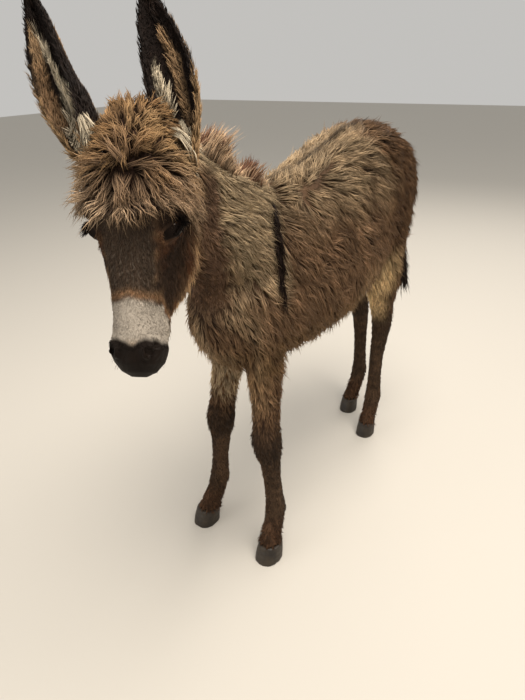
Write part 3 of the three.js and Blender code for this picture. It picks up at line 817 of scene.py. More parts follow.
def ear_cup(side, s):
    """The ear's wall as a cup that opens forwards, in the ear's own mm."""
    bm = bmesh.new()
    bmesh.ops.create_grid(bm, x_segments=26, y_segments=40, size=1.0)
    for v in bm.verts:
        a, t = v.co.x, (v.co.y + 1) / 2 * (1 + EAR_ROOT) - EAR_ROOT
        wide, deep = (np.interp(t, EAR_STATIONS[:, 0], EAR_STATIONS[:, k]) - 3 for k in (1, 2))
        phi = a * math.radians(np.interp(t, *EAR_WRAP))
        middle, spread = ear_middle(side, s, t)
        across = (wide * EARS[side]["wide"] + spread) * math.sin(phi) + middle
        v.co = (across, deep * math.cos(phi), t * EAR_LENGTH * .985)
    bmesh.ops.recalc_face_normals(bm, faces=bm.faces)
    if max(bm.faces, key=lambda f: f.calc_center_median().y).normal.y < 0:
        bmesh.ops.reverse_faces(bm, faces=bm.faces)
    bmesh.ops.solidify(bm, geom=bm.faces[:], thickness=EAR_WALL)
    points, tris = arrays_of(bm)
    outer = tris >= len(points) // 2
    rim = outer.any(1) & ~outer.all(1)
    for half in np.split(np.flatnonzero(rim), 2):  # each quad of the rim has one triangle in each half
        tris[half] = in_order(tris[half])
    return points, tris


def refine_and_fit(bm, tree):
    """Subdivides the head, then the eyes, nostrils and mouth, and lays the new points on the source's surface."""
    def head(p):
        return (p[:, 2] < -96) & (p[:, 2] > -420) & (np.abs(p[:, 0]) < 112) & (p[:, 1] < 175)

    def fine(p):
        mouth = (np.abs(p[:, 1] - 12) < 8) & (p[:, 2] < -296) & (p[:, 2] > -400)
        return (eye_distance(p) < 38) | (nostril_distance(p) < 21) | mouth

    for inside in (head, fine):
        bmesh.ops.subdivide_edges(bm, edges=chosen_edges(bm, inside), cuts=1, use_grid_fill=True)
    for v in bm.verts:
        near = tree.find_nearest(v.co)[0]
        if near is not None and (near - v.co).length < .012:
            v.co = near


def lid_share(u, v):
    """1 on the edge of the open lids, which is 15 mm along u to each side, 3.5 up and 4.9 down along v."""
    return ((np.abs(u) / 15.0) ** 1.6 + (np.abs(v) / np.where(v > 0, 3.5, 4.9)) ** 1.9) ** (1 / 1.75)


def sculpt_head(points, normal, on_head):
    """Lids, facial crest, nostrils and mouth, in head mm."""
    local = to_head(to_stance(points))
    x, y, down = np.abs(local[:, 0]), local[:, 1], -local[:, 2]
    radius = bpy.context.scene.donkey_sizes.eye_radius * 1000
    push = 2.0 * bell(y - 14 - .05 * (down - 200), 8) * span(down, 178, 196, 235, 262)
    comma = nostril_distance(local)
    push += -7.5 * bell(comma, 4.2) + 1.2 * bell(comma - 9.5, 3.6)
    off = y - 13 + .012 * (down - 300)
    lips = -4.2 * bell(off, 1.9) + 1.3 * bell(np.abs(off) - 5.5, 3)
    push += step(294, 304, down) * step(10, 16, x + (down > 345) * 40) * lips
    push -= .8 * bell(x - 9 - .2 * (down - 345), 3) * span(down, 352, 362, 378, 388) * (y < 0)
    local = local + normal @ HEAD_ROT * (push * on_head)[:, None]
    local[:, 0] *= 1 - .15 * step(350, 392, -local[:, 2]) * on_head
    for s in (1, -1):
        centre = EYE_AT * (s, 1, 1)
        axes = ahead, along, over = eye_axes(s)
        ahead_mm, u, v = ((local - centre) @ axis for axis in axes)
        share = lid_share(u, v)
        near = (ahead_mm > -2) & (np.hypot(u, v) < 34)
        # Points close to the lids' edge snap to it, so that the opening is crisp.
        snap = near & (share > .84) & (share < 1.16)
        u, v = np.where(snap, u / share, u), np.where(snap, v / share, v)
        share, across = lid_share(u, v), np.hypot(u, v)
        lid = radius + 1.3 + np.where(v > 0, 2.6, 1.4) * bell(share - 1.3, .3)
        target = np.sqrt(np.maximum(np.where(share < .97, radius - 3.2, lid) ** 2 - across ** 2, 16))
        weight = near * step(21.5, 16.5, across)
        upper = -1.9 * bell(share - 3.0, .28) + 3.2 * bell(share - 4.2, .8)
        lower = -1.2 * bell(share - 2.25, .2) + 1.0 * bell(share - 2.85, .32)
        out = ahead_mm * (1 - weight) + target * weight + np.where(v > 0, upper, lower) * near * step(.97, 1.3, share)
        moved = centre + np.outer(u, along) + np.outer(v, over) + np.outer(out, ahead)
        local = np.where((near & (on_head > .5))[:, None], moved, local)
    return to_row(from_head(local))


def ear_marks(side, t, q, cup):
    """The cup's dark edges and tip, and its two pale strips, for shares t up it and q round it."""
    def between(low, high):
        return step(low - .05, low + .05, q) * step(high + .05, high - .05, q)

    def line(places, values):
        return np.interp(t, places, values)

    ragged = t + .03 * waves(cup, 40, 17)
    if side == "left":
        tip = step(.61, .69, ragged - .05 * bell(q - .3, .3))
        strip = between(line((0, .22, .38, .55, .62), (-.3, -.22, -.50, -.62, -.55)),
                        line((0, .12, .29, .42, .55, .62), (.25, .12, -.08, -.32, -.40, -.45))) * step(.6, .48, t)
        second = between(line((.1, .25, .41, .57, .68), (.4, .26, .23, .2, .12)),
                         line((.1, .25, .41, .57, .68), (.5, .47, .52, .62, .5))) * step(.08, .2, t)
        dark = (step(.62, .72, q) * step(.02, .1, t) + step(-.68, -.8, q) * step(.62, .55, t)
                + step(-.45, -.6, q) * step(.58, .64, t))
    else:
        tip = step(.68, .76, ragged - .04 * bell(q - .55, .3))
        strip = between(line((0, .19, .3, .5, .66), (-.1, -.04, 0, .07, .2)),
                        line((0, .17, .33, .49, .6, .74), (.5, .42, .33, .32, .42, .56)))
        second = between(.52, .9) * step(-.05, .1, t)
        by_poll = q - line((.08, .19, .32, .5, .66, .78), (-.1, -.04, -.01, .05, .2, .08))
        dark = step(.92, .98, q) * step(.2, .35, t) + step(.95, 1.05, q) + step(.06, -.06, by_poll) * step(.04, .12, t)
    return strip, second, clipped(dark + tip)


def dress_ear(side, s, cup, normal):
    """An ear's hair: its kind, lie, sizes, and root and tip colours. The kind is 1 on the back and 2 in the cup."""
    c, right = colours(), side == "right"
    rot = HEAD_ROT @ ear_frame(side, s)[0]
    t = cup[:, 2] / EAR_LENGTH
    radial = unit(cup - columns(ear_middle(side, s, t)[0], 0, cup[:, 2]))
    inner = (normal @ rot * radial).sum(1) < 0
    # q runs from -1 at the edge by the poll to 1 at the outer edge, and t from root to tip.
    q = s * np.arctan2(radial[:, 0], radial[:, 1]) / np.radians(np.interp(t, *EAR_WRAP)) + .03 * waves(cup, 17, 17)
    by_edge = np.abs(q)
    strip, second, dark = ear_marks(side, t, q, cup)
    rim = clipped(step(.84, .96, by_edge) + step(.80, .90, t))
    inward = -(np.sign(q) * s)[:, None] * columns(radial[:, 1], -radial[:, 0], 0)
    way = np.where(inner[:, None], .35 * inward + (0, -.3, 1), (0, 0, 1) - .25 * rim[:, None] * inward)
    way = mix(way, (0, -.6, -.8), strip * step(.24, .08, t)) @ rot.T
    light = clipped(strip + second)
    cup_length = .007 + (.018 + .014 * step(.4, .1, t)) * strip + .012 * second
    sizes = {
        "length": np.where(inner, cup_length, .012 + .010 * step(.6, .95, by_edge) * step(.7, .4, t)),
        "width": np.where(inner, .0016 + .0006 * light, .0016),
        "rise": np.where(inner, 14 + 18 * light, 12 + 22 * step(.7, .95, by_edge)),
        "fall": np.where(inner, 4 + 4 * light, 3),
        "droop": 0,
    }
    edge = np.interp(t, (0, .3, .55), (-.5, -.6, -.77)) if right else -.77
    edge_dark = step(.07, -.07, q - edge) * (step(-.12, -.04, t) if right else step(.02, .1, t))
    back = mix(c.ear, c.crown_tip, .5 * clipped(waves(cup, 60, 17)))
    back = mix(back, c.rim, clipped(rim * step(.25, .5, t) + step(.72, .9, t) + edge_dark))
    # The cream strip is brighter in the right ear: painted light on a copy of the same cream.
    bowl = mix(c.rim * 1.2, c.cream * (1.25 if right else 1), strip)
    bowl = mix(bowl, mix(c.tan, c.rump_tip, .75 * step(.66, .45, t) if right else .35), second)
    bowl = mix(bowl, c.rim, dark)
    inner = inner[:, None]
    # The roots are darker copies of these colours: painted shade deep in the ear's hair.
    return inner[:, 0] + 1, laid(way, normal), sizes, np.where(inner, bowl * .6, back * .5), np.where(inner, bowl, back)


class DONKEY_OT_skin(bpy.types.Operator):
    """One skin for trunk, neck, head, ears, legs and dock, a coat's depth inside the source's solids"""

    bl_idname = "donkey.skin"
    bl_label = "Skin"

    def execute(self, context):
        legs = [f"{region}_{side}" for region in LEGS for side, _ in SIDES]
        nodes = ["trunk", "neck", "head", "tail", "eye_left", "eye_right"] + legs
        regions = [region_of(node) for node in nodes]
        surface, owner = copies(nodes)
        tree = BVHTree.FromBMesh(surface)
        surface.free()
        bm = remeshed(copies(nodes, .0009)[0], context.scene.donkey_sizes.voxel)
        refine_and_fit(bm, tree)
        points, tris = arrays_of(bm)
        edges = edges_of(tris)
        label = [regions[owner[tree.find_nearest(Vector(p))[2]]] for p in points]
        share = smoothed(np.eye(len(REGIONS))[label], edges, 14)
        points = smoothed(points, edges, 7, .5, -.53)
        depth = smoothed(hair_sizes(to_stance(points), share)["depth"], edges, 6)
        points = points - normals_of(points, tris) * depth[:, None]
        points = smoothed(points, edges, 4, .5, -.52)
        points = sculpt_head(points, normals_of(points, tris), share[:, REGIONS.index("head")])
        # The ears join as cups, rooted under the forelock.
        parts, walls, ears = [points], [tris], []
        for side, s in SIDES:
            cup, faces = ear_cup(side, s)
            rot, root = ear_frame(side, s)
            ears.append((side, s, slice(len(share), len(share) + len(cup)), cup))
            parts.append(to_row(from_head(cup @ rot.T + root)))
            walls.append(faces + len(share))
            share = np.concatenate([share, np.repeat(np.eye(len(REGIONS))[[REGIONS.index("ear")]], len(cup), 0)])
        points, tris = np.concatenate(parts), np.concatenate(walls)
        normal, stance = normals_of(points, tris), to_stance(points)
        root, tip = paints(stance, share, normal)
        lie, sized, kind = lies(stance, normal, share), hair_sizes(stance, share), np.zeros(len(points), int)
        for side, s, here, cup in ears:
            kind[here], lie[here], sizes, root[here], tip[here] = dress_ear(side, s, cup, normal[here])
            for key, values in sizes.items():
                sized[key][here] = values
        SKIN.update(V=points, F=tris, N=normal, share=share, lie=lie, kind=kind, stance=stance, root=root, tip=tip,
                    **sized)
        # The skin takes the root colour: darker underhair, and painted shade deep under the coat. Where the hair is
        # only a nap, the skin shows nearer to its tips.
        local, on_head = to_head(stance), share[:, REGIONS.index("head")]
        _, _, face, muzzle = head_masks(local)
        short = [REGIONS.index(r) for r in ("fore_cannon", "fore_pastern", "hind_cannon", "hind_pastern")]
        nap = clipped(clipped(face + muzzle) * on_head + share[:, short].sum(1))
        marks = {"coat": clipped(mix(root, .5 * (root + tip), nap)), "leather": on_head * step(332, 342, -local[:, 2])}
        piece = piece_from("skin", points, tris, haired_skin(), marks)
        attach(piece, "root")
        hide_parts(*[n for n in nodes if not n.startswith("eye")], "ear_left", "ear_right")
        return {"FINISHED"}


# ---------------------------------------------------------------- eyes and hooves
class DONKEY_OT_eyes(bpy.types.Operator):
    """Wet dark eyes with a brown iris, a long level pupil and a bulged cornea"""

    bl_idname = "donkey.eyes"
    bl_label = "Eyes"

    def execute(self, context):
        radius = context.scene.donkey_sizes.eye_radius
        iris, white, ring, hole = (np.array(linear(h)) for h in ("#150d08", "#1c120d", "#3a2213", "#040303"))
        for side, s in SIDES:
            bm = bmesh.new()
            bmesh.ops.create_uvsphere(bm, u_segments=48, v_segments=32, radius=1.0)
            ahead, along, over = eye_axes(s)
            base = HEAD_ROT @ np.stack([along, over * s, ahead], 1)
            centre = to_row(from_head(EYE_AT * (s, 1, 1)))
            colour = []
            for v in bm.verts:
                p = np.array(v.co)
                across, tone, bulge = math.hypot(p[0], p[1]), white, 0
                if p[2] > 0:
                    bulge = .07 * step(.78, .45, across)
                    tone = mix(iris if across < .72 else white, ring, bell(across - .45, .16))
                    tone = mix(hole, tone, step(.85, 1.15, math.hypot(p[0] / .34, p[1] / .17)))
                v.co = Vector(centre + base @ (p * (1 + bulge)) * radius * .985)
                colour.append(tone)
            points, tris = arrays_of(bm)
            piece = piece_from(f"eyeball_{side}", points, in_order(tris), wet_eye(), {"iris": np.array(colour)})
            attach(piece, "root")
            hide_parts(f"eye_{side}")
        return {"FINISHED"}


class DONKEY_OT_hooves(bpy.types.Operator):
    """Rounded hooves with growth rings"""

    bl_idname = "donkey.hooves"
    bl_label = "Hooves"

    def execute(self, context):
        horn, ring_gap, ring_height = hoof_horn(), 4.6, .35
        for end, side in ((end, side) for end in ("fore", "hind") for side, _ in SIDES):
            node = f"{end}_hoof_{side}"
            low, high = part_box(node)
            points, tris = arrays_of(remeshed(copies([node])[0], .0026))
            points = smoothed(points, edges_of(tris), 8, .5, -.52)
            normal, z = normals_of(points, tris), points[:, 2] * 1000
            ring = ring_height * np.sin(z / ring_gap * 2 * np.pi) * (1 - np.abs(normal[:, 2])) * span(z, 6, 12, 34, 42)
            points = points + normal * (ring / 1000)[:, None]
            points[:, 2] = np.maximum(points[:, 2], 0)
            points[:, :2] = np.clip(points[:, :2], np.array(low)[:2] - .001, np.array(high)[:2] + .001)
            piece = piece_from(f"horn_{end}_{side}", points, tris, horn)
            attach(piece, "root")
            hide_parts(node)
        return {"FINISHED"}


# ---------------------------------------------------------------- the coat
COAT_PARTS = ("ears", "rump", "barrel_left", "barrel_right", "shoulders", "neck", "head", "forelegs", "hindlegs",
              "tail")
# Half the width of a lock's rings from root to tip, which is a point.
PROFILES = {2: (.85, .8), 3: (.75, 1.0, .62), 4: (.7, 1.0, .85, .5)}


def part_at(stance, share):
    """Which of COAT_PARTS grows at points of the skin."""
    best, (x, y, _) = share.argmax(1), stance.T
    trunk = np.where(y > 205, 1, np.where(y < -215, 4, np.where(x > 4, 2, 3)))
    return np.where(best == 0, trunk, np.array([0, 5, 6, 7, 7, 7, 8, 8, 8, 9, 0])[best])


def unwrap(stance, kind):
    """Where points of the skin lie on an unwrap of its shape: round and along the trunk, head, each leg or ear."""
    x, y, z = stance.T
    if kind == "body":
        return columns(np.arctan2(x - 12, z - 740), y)
    local = to_head(stance)
    if kind == "head":
        return columns(np.arctan2(local[:, 0], 25 - local[:, 1]), local[:, 2])
    # Each leg or ear has a strip of its own, about as wide as it is round.
    turns = 6.5
    if kind == "legs":
        left, fore = x > 24, y < 0
        across = np.where(left, np.where(fore, 105, 75), np.where(fore, -85, -75))
        along = np.where(fore, -325, np.where(left, 320, 400))
        return columns(np.arctan2(x - across, along - y) / turns + left, z)
    out = np.zeros((len(stance), 2))
    for side, s in SIDES:
        rot, root = ear_frame(side, s)
        cup, here = (local - root) @ rot, (x > 17) == (s > 0)
        out[here] = columns(np.arctan2(cup[:, 0], cup[:, 1]) / turns + (s > 0), cup[:, 2])[here]
    return out


def locks(name, root, normal, lie, shade, uv, hair, slot, *, length, width, rise, fall, droop,
          seed, segments=3, group=8, gather=.55, flat=.42, frizz=0, uneven=1.0):
    """A coat piece: every root grows a thin three-sided lock, tapered and curved, that leans to the locks round it."""
    rng = np.random.default_rng(seed)
    n = len(root)
    sizes = (np.broadcast_to(np.asarray(v, float), n) for v in (length, width, rise, fall, droop))
    length, width, rise, fall, droop = sizes
    # Leaders give each clump one path; the others follow it and close in towards the tip.
    leaders = np.sort(rng.choice(n, max(1, n // group), replace=False))
    finder = KDTree(len(leaders))
    for k, i in enumerate(leaders):
        finder.insert(root[i], k)
    finder.balance()
    lead, count = np.array([finder.find(p)[1] for p in root]), len(leaders)
    out = normal[leaders]
    across = np.cross(out, lie[leaders])
    ahead = unit(lie[leaders] + across * rng.normal(0, .20, (count, 1)))
    start = np.radians(rise[leaders] * rng.uniform(.75, 1.25, count))
    end = np.radians(fall[leaders] + rng.normal(0, 3, count))
    curl = rng.normal(0, .22, count)[:, None]
    reach = (length[leaders] * rng.uniform(.85, 1.15, count) / segments)[:, None]
    path = [np.zeros((count, 3))]
    for k in range(segments):
        t = (k + .5) / segments
        a = (start + (end - start) * t ** .8)[:, None]
        way = ahead * np.cos(a) + out * np.sin(a) + across * curl * (t - .25) - np.outer(droop[leaders] * t, (0, 0, 1))
        path.append(path[-1] + unit(way) * reach)
    path = np.stack(path, 1)
    own = rng.uniform(.72, 1.12, n)[:, None, None]
    steps = np.linspace(0, 1, segments + 1)
    stray = rng.normal(0, .08, (n, 1, 3)) * length[:, None, None] * (steps ** 1.6)[:, None]
    stray *= np.where(rng.random(n) < .09, 1.6, 1.0)[:, None, None]
    away = (root - root[leaders][lead])[:, None, :]
    line = path[lead] * own - away * (gather * steps ** 1.2)[:, None] + stray
    # Locks never dive under the skin at their root.
    line += normal[:, None, :] * np.clip(-(line * normal[:, None, :]).sum(2), 0, None)[..., None] * .8
    if frizz:
        turns = rng.uniform(0, 6.3, n)[:, None] + steps * rng.uniform(5, 11, n)[:, None]
        coil = np.cross(normal, lie)[:, None] * np.cos(turns)[..., None] + normal[:, None] * np.sin(turns)[..., None]
        line += frizz * length[:, None, None] * steps[:, None] * coil
    line = line + root[:, None, :]
    line[:, 0] -= normal * np.minimum(.0018, .3 * width)[:, None]
    run = unit(np.diff(line, axis=1))
    left = unit(np.cross(normal[:, None, :], run))
    up = np.cross(run, left)
    half = (width * rng.uniform(.75, 1.25, n) / 2)[:, None]
    rings = []
    for k, share in enumerate(PROFILES[segments]):
        r = half * share
        rings += [line[:, k] + left[:, k] * r, line[:, k] - left[:, k] * r, line[:, k] + up[:, k] * r * 2 * flat]
    points = np.stack(rings + [line[:, -1]], 1)
    tip = 3 * segments
    faces = [(0, 1, 2)]
    for a in range(0, tip - 3, 3):
        for i, j in ((0, 2), (2, 1), (1, 0)):
            faces += [(a + i, a + j, a + j + 3), (a + i, a + j + 3, a + i + 3)]
    faces += [(tip - 3, tip - 1, tip), (tip - 1, tip - 2, tip), (tip - 2, tip - 3, tip)]
    tris = (np.array(faces)[None] + (np.arange(n) * (tip + 1))[:, None, None]).reshape(-1, 3)
    tone = np.clip(1 + uneven * (rng.normal(1, .20, count)[lead] * rng.normal(1, .15, n) - 1), .4, 1.7)
    # Every ring reads the marking where it lies, so that the cross and the edges stay sharp under overlapping hair.
    # Towards its root each lock takes the root colour: darker underhair, and painted shade deep in the coat.
    rings = []
    for k, t in enumerate(steps):
        under, over = shade(line[:, k]) if callable(shade) else shade
        rings += [np.broadcast_to(mix(under, over, step(0, .8, t)), (n, 3))] * (3 if k < segments else 1)
    colour = clipped(np.stack(rings, 1) * tone[:, None, None])
    around = np.append(np.tile([1.0, -1.0, 0.0], segments), 0.0)
    strand = .55 * around + rng.uniform(0, 400, n)[:, None]
    spot = .01 + .98 * (uv - uv.min(0)) / np.maximum(uv.max(0) - uv.min(0), 1e-6)
    patch = columns(.0015 * around, .003 * np.append(np.repeat(steps[:-1], 3), 1.0) - .0015)
    marks = {"coat": colour.reshape(-1, 3), "strand": strand.ravel()}
    maps = (spot[:, None, :] + patch).reshape(-1, 2)
    piece = piece_from(name, points.reshape(-1, 3), tris, hair_of(hair), marks, maps)
    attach(piece, "root")
    return piece


def coat_over(part, seed, each, unwrapped, inside=None, slot="coat", hair="long", own=False, **how):
    """Grows locks over a part of the skin, each per square metre. With own, they keep their root's colours."""
    if not SKIN:
        raise RuntimeError("the skin comes before its coat")
    rng = np.random.default_rng(seed + bpy.context.scene.donkey_sizes.seed)
    tris = SKIN["F"]
    stance, share = (SKIN[key][tris].mean(1) for key in ("stance", "share"))
    if inside is None:
        keep = part_at(stance, share) == COAT_PARTS.index(part)
    else:
        keep = inside(stance, share, SKIN["kind"][tris].max(1))
    faces = np.where(keep)[0]
    if not len(faces):
        raise RuntimeError(part + " has no skin to grow on")
    a, b, c = (SKIN["V"][tris[faces, k]] for k in range(3))
    dense = each(stance[faces]) if callable(each) else each
    sums = np.cumsum(long(np.cross(b - a, c - a)) / 2 * dense)
    n = int(sums[-1])
    spots = (np.arange(n) + rng.random(n)) / n * sums[-1]
    corners = tris[faces[np.minimum(np.searchsorted(sums, spots), len(faces) - 1)]]
    r1, r2 = np.sqrt(rng.random(n)), rng.random(n)
    weight = columns(1 - r1, r1 * (1 - r2), r1 * r2)

    def at(key):
        values = SKIN[key][corners]
        return (values * (weight[..., None] if values.ndim == 3 else weight)).sum(1)

    root, normal, share = at("V"), unit(at("N")), at("share")
    stance = to_stance(root)
    if SKIN["kind"][corners].max() > 0:
        shade = (at("root"), at("tip"))
    elif own:
        shade = paints(stance, share, normal)
    else:
        shade = lambda where: paints(to_stance(where), share, normal)
    sizes = {key: at(key) for key in ("length", "width", "rise", "fall", "droop")}
    locks("coat_" + part, root, normal, laid(at("lie"), normal), shade, unwrap(stance, unwrapped), hair, slot,
          seed=seed, **sizes, **how)


def planted(spots, ways, runs):
    """Where rays from these points meet the skin: the place, its normal and the run that goes with each."""
    tree = BVHTree.FromPolygons(SKIN["V"].tolist(), SKIN["F"].tolist())
    found = []
    for spot, way, run in zip(spots, ways, runs):
        at, normal = tree.ray_cast(Vector(spot), Vector(way))[:2]
        if at is not None:
            found.append((np.array(at), np.array(normal), run))
    return (np.array(values) for values in zip(*found))


class DONKEY_OT_body_coat(bpy.types.Operator):
    """Long winter locks over the rump, barrel, shoulders and chest"""

    bl_idname = "donkey.body_coat"
    bl_label = "Body coat"

    def execute(self, context):
        for part, seed in (("rump", 31), ("barrel_left", 32), ("barrel_right", 33), ("shoulders", 34)):
            coat_over(part, seed, 54000, "body", segments=2, group=10, gather=.58, frizz=.045)
        return {"FINISHED"}


class DONKEY_OT_cross(bpy.types.Operator):
    """The dark shoulder cross: locks that run down its line through the coat on both sides"""

    bl_idname = "donkey.cross"
    bl_label = "Shoulder cross"
    rays, fewest, above_skin, longest = 1900, 700, .004, 12

    def execute(self, context):
        rng = np.random.default_rng(35)
        spots, ways, runs = [], [], []
        for k in range(self.rays):
            s, z = 1 if k % 2 else -1, rng.uniform(672, 900)
            if rng.random() <= np.interp(z, *CROSS_LOCKS):
                spots.append(to_row((400 * s, stripe_line(z) + 2 * math.sin(z / 23) + rng.normal(0, 1.9), z)))
                ways.append((-s, 0, 0))
                runs.append((0, stripe_line(z - self.longest) - stripe_line(z), -self.longest))
        root, normal, run = planted(spots, ways, runs)
        if len(root) < self.fewest:
            raise RuntimeError("the cross misses the skin")
        root, c = root + normal * self.above_skin, colours()
        tip = mix(c.side_tip, c.stripe, step(672, 720, to_stance(root)[:, 2]))
        locks("coat_cross", root, normal, laid(run, normal), (c.stripe, tip), unwrap(to_stance(root), "body"), "long",
              "coat", length=.044, width=.0023, rise=25, fall=-3, droop=0, group=3, gather=.2, seed=36)
        return {"FINISHED"}


class DONKEY_OT_neck_coat(bpy.types.Operator):
    """Locks that stream down and back over the neck"""

    bl_idname = "donkey.neck_coat"
    bl_label = "Neck coat"

    def execute(self, context):
        coat_over("neck", 41, 80000, "body", segments=2, group=9, gather=.56, frizz=.045)
        return {"FINISHED"}


class DONKEY_OT_head_coat(bpy.types.Operator):
    """The shaggy forelock, the cheeks' fringe and the short nap of the face and muzzle"""

    bl_idname = "donkey.head_coat"
    bl_label = "Head coat"

    def execute(self, context):
        def grown(kind):
            def inside(stance, share, _):
                local = to_head(stance)
                crown, cheek, _, _ = head_masks(local)
                bare = (eye_distance(local) <= 23.5) | (nostril_distance(local) <= 7)
                place = {"forelock": crown > .35, "cheeks": (crown <= .35) & (cheek > .3) & ~bare,
                         "face": (crown <= .35) & (cheek <= .3) & ~bare & (local[:, 2] > -345)}[kind]
                return place & (part_at(stance, share) == COAT_PARTS.index("head"))
            return inside

        coat_over("forelock", 51, 122000, "head", grown("forelock"), group=7, frizz=.085, own=True)
        coat_over("cheeks", 52, 130000, "head", grown("cheeks"), segments=2, group=6, gather=.5, own=True)
        coat_over("face", 53, 165000, "head", grown("face"), hair="short", segments=2, group=4, gather=.3, uneven=.4)
        return {"FINISHED"}


class DONKEY_OT_ear_coat(bpy.types.Operator):
    """Short fur on the backs of the ears and long cream hair in the cups"""

    bl_idname = "donkey.ear_coat"
    bl_label = "Ear coat"
    hanging = 560

    def execute(self, context):
        def on_ear(wanted):
            return lambda stance, share, kind: (share[:, -1] > .99) & (kind == wanted)

        coat_over("ear_backs", 61, 150000, "ears", on_ear(1), hair="short", segments=2, group=4, gather=.3)
        coat_over("ear_cups", 62, 90000, "ears", on_ear(2), group=6, gather=.5)
        rng = np.random.default_rng(63)
        spots, runs = [], []
        for k in range(self.hanging):
            a, b = np.array(BUNDLES[k % 2], float)
            run = unit(b - a)
            spot = a + run * rng.uniform(10, 48) + np.cross(run, (0, 1, 0)) * rng.normal(0, 4.5)
            spots.append(to_row(from_head(spot - (0, 60, 0))))
            runs.append(HEAD_ROT @ run)
        root, normal, run = planted(spots, [HEAD_ROT @ (0, 1, 0)] * self.hanging, runs)
        cream, right = colours().cream, to_head(to_stance(root))[:, 0] < 0
        # Lit and shaded copies of the cream: the bundle by the left ear is brighter as painted light, the one by the
        # right ear darker as painted shade; the roots are a darker copy, painted shade.
        tip = cream * np.where(right, .72, 1.15)[:, None]
        locks("coat_ear_bundles", root, normal, laid(run, normal), (cream * .5, tip), unwrap(to_stance(root), "head"),
              "long", "coat", length=.052, width=.0024, rise=58, fall=-22, droop=.1, group=9, gather=.5, seed=64)
        return {"FINISHED"}


class DONKEY_OT_leg_coat(bpy.types.Operator):
    """Wavy hair on the forearms and gaskins, short nap below"""

    bl_idname = "donkey.leg_coat"
    bl_label = "Leg coat"

    def execute(self, context):
        for part, seed in (("forelegs", 71), ("hindlegs", 72)):
            coat_over(part, seed, lambda stance: 44000 + 36000 * step(420, 300, stance[:, 2]), "legs", slot="legs",
                      segments=2, group=6, gather=.5)
        return {"FINISHED"}


class DONKEY_OT_mane(bpy.types.Operator):
    """The short upright mane in two tufts along the crest"""

    bl_idname = "donkey.mane"
    bl_label = "Mane"
    count = 3200

    def execute(self, context):
        rng, c, n = np.random.default_rng(81), colours(), self.count
        t = rng.random(n)
        root = columns(*(np.interp(t, np.linspace(0, 1, len(MANE)), MANE[:, k]) for k in range(3)))
        root[:, 0] += rng.normal(0, 9, n)
        off = root[:, 0] - 12
        first, second = bell(t - .38, .17), bell(t - .82, .08)
        tall = context.scene.donkey_sizes.mane_length * (.25 + .62 * np.maximum(first, .66 * second))
        outer = step(3, 13, np.abs(off)) * (1 - .75 * second)
        shade = mix(c.mane_root, c.neck_root, outer), mix(c.mane_root * (1.2, 1.3, 1.3), c.mane_tip, outer)
        piece = locks("mane_locks", to_row(root), unit(columns(0 * t, .12, 1.0)), unit(columns(off * .012, .9, 0)),
                      shade, root[:, :2], "mane", "mane", length=tall, width=.0034, rise=62, fall=34, droop=0,
                      segments=4, group=16, gather=.62, seed=82)
        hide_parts("mane")
        return {"FINISHED"}


class DONKEY_OT_tail(bpy.types.Operator):
    """The tail: short hair on the dock and a dark switch"""

    bl_idname = "donkey.tail"
    bl_label = "Tail"
    count = 3300

    def execute(self, context):
        rng, c, n = np.random.default_rng(91), colours(), self.count
        z = rng.uniform(535, 905, n)
        x, y, half = (np.interp(z, TAIL[:, 2], TAIL[:, k]) for k in (0, 1, 3))
        a = rng.uniform(0, 2 * np.pi, n)
        normal = columns(np.cos(a), np.sin(a), 0)
        root = columns(x, y, z) + normal * (half * .45)[:, None]
        lie = columns(.04, .02 + .55 * step(840, 900, z), -1.0)
        switch = step(700, 600, z)
        length = np.minimum(.034 + .045 * switch, (z - 455) / 1000)
        shade = mix(c.rump_root, c.rim, switch), mix(c.rump_tip, c.rim * 1.3, switch)
        locks("tail_locks", to_row(root), normal, laid(lie, normal), shade, columns(a, z), "mane", "mane",
              length=length, width=.0036, rise=16, fall=3, droop=.3, group=10, gather=.5, segments=4, seed=92)
        return {"FINISHED"}


class DONKEY_OT_lashes(bpy.types.Operator):
    """Dark lashes on the upper lids and a few whiskers on the muzzle and chin"""

    bl_idname = "donkey.lashes"
    bl_label = "Lashes and whiskers"
    lashes, whiskers = 230, 26

    def execute(self, context):
        rng = np.random.default_rng(95)
        lid = context.scene.donkey_sizes.eye_radius * 1000 + 2.2
        rows = []
        for s in (1, -1):
            centre = EYE_AT * (s, 1, 1)
            ahead, along, over = eye_axes(s)
            for _ in range(self.lashes):
                t = rng.uniform(-.8, .98)
                u, v = 14.6 * t, 3.8 * (1 - abs(t) ** 1.7) + rng.uniform(0, 1.8)
                out = math.sqrt(max(lid ** 2 - u * u - v * v, 9))
                rows.append((centre + along * u + over * v + ahead * out, ahead + over * .4,
                             over * .15 + along * (.25 + t * .5) - (0, 0, .8), rng.uniform(11, 19)))
            for _ in range(self.whiskers):
                down = rng.uniform(330, 380)
                rng.random()  # a spare draw, which keeps the whiskers where they are
                root = (s * rng.uniform(20, 40), rng.uniform(-20, 30), -down)
                rows.append((root, (s, -.3, -.2), (s * .2, -.1, -1.0), rng.uniform(8, 20)))
        root, normal, lie, length = (np.array(values) for values in zip(*rows))
        root, normal, lie = to_row(from_head(root)), unit(normal) @ HEAD_ROT.T, unit(lie) @ HEAD_ROT.T
        whisker = np.arange(len(root)) % (self.lashes + self.whiskers) >= self.lashes
        dark = colours().nose * .7
        locks("lashes_and_whiskers", root, normal, laid(lie, normal), (dark, dark), root[:, ::2], "mane", "mane",
              length=length / 1000, width=np.where(whisker, .0006, .0009), rise=np.where(whisker, 45, 50), fall=25,
              droop=.2, group=3, gather=.2, flat=.6, seed=96)
        return {"FINISHED"}


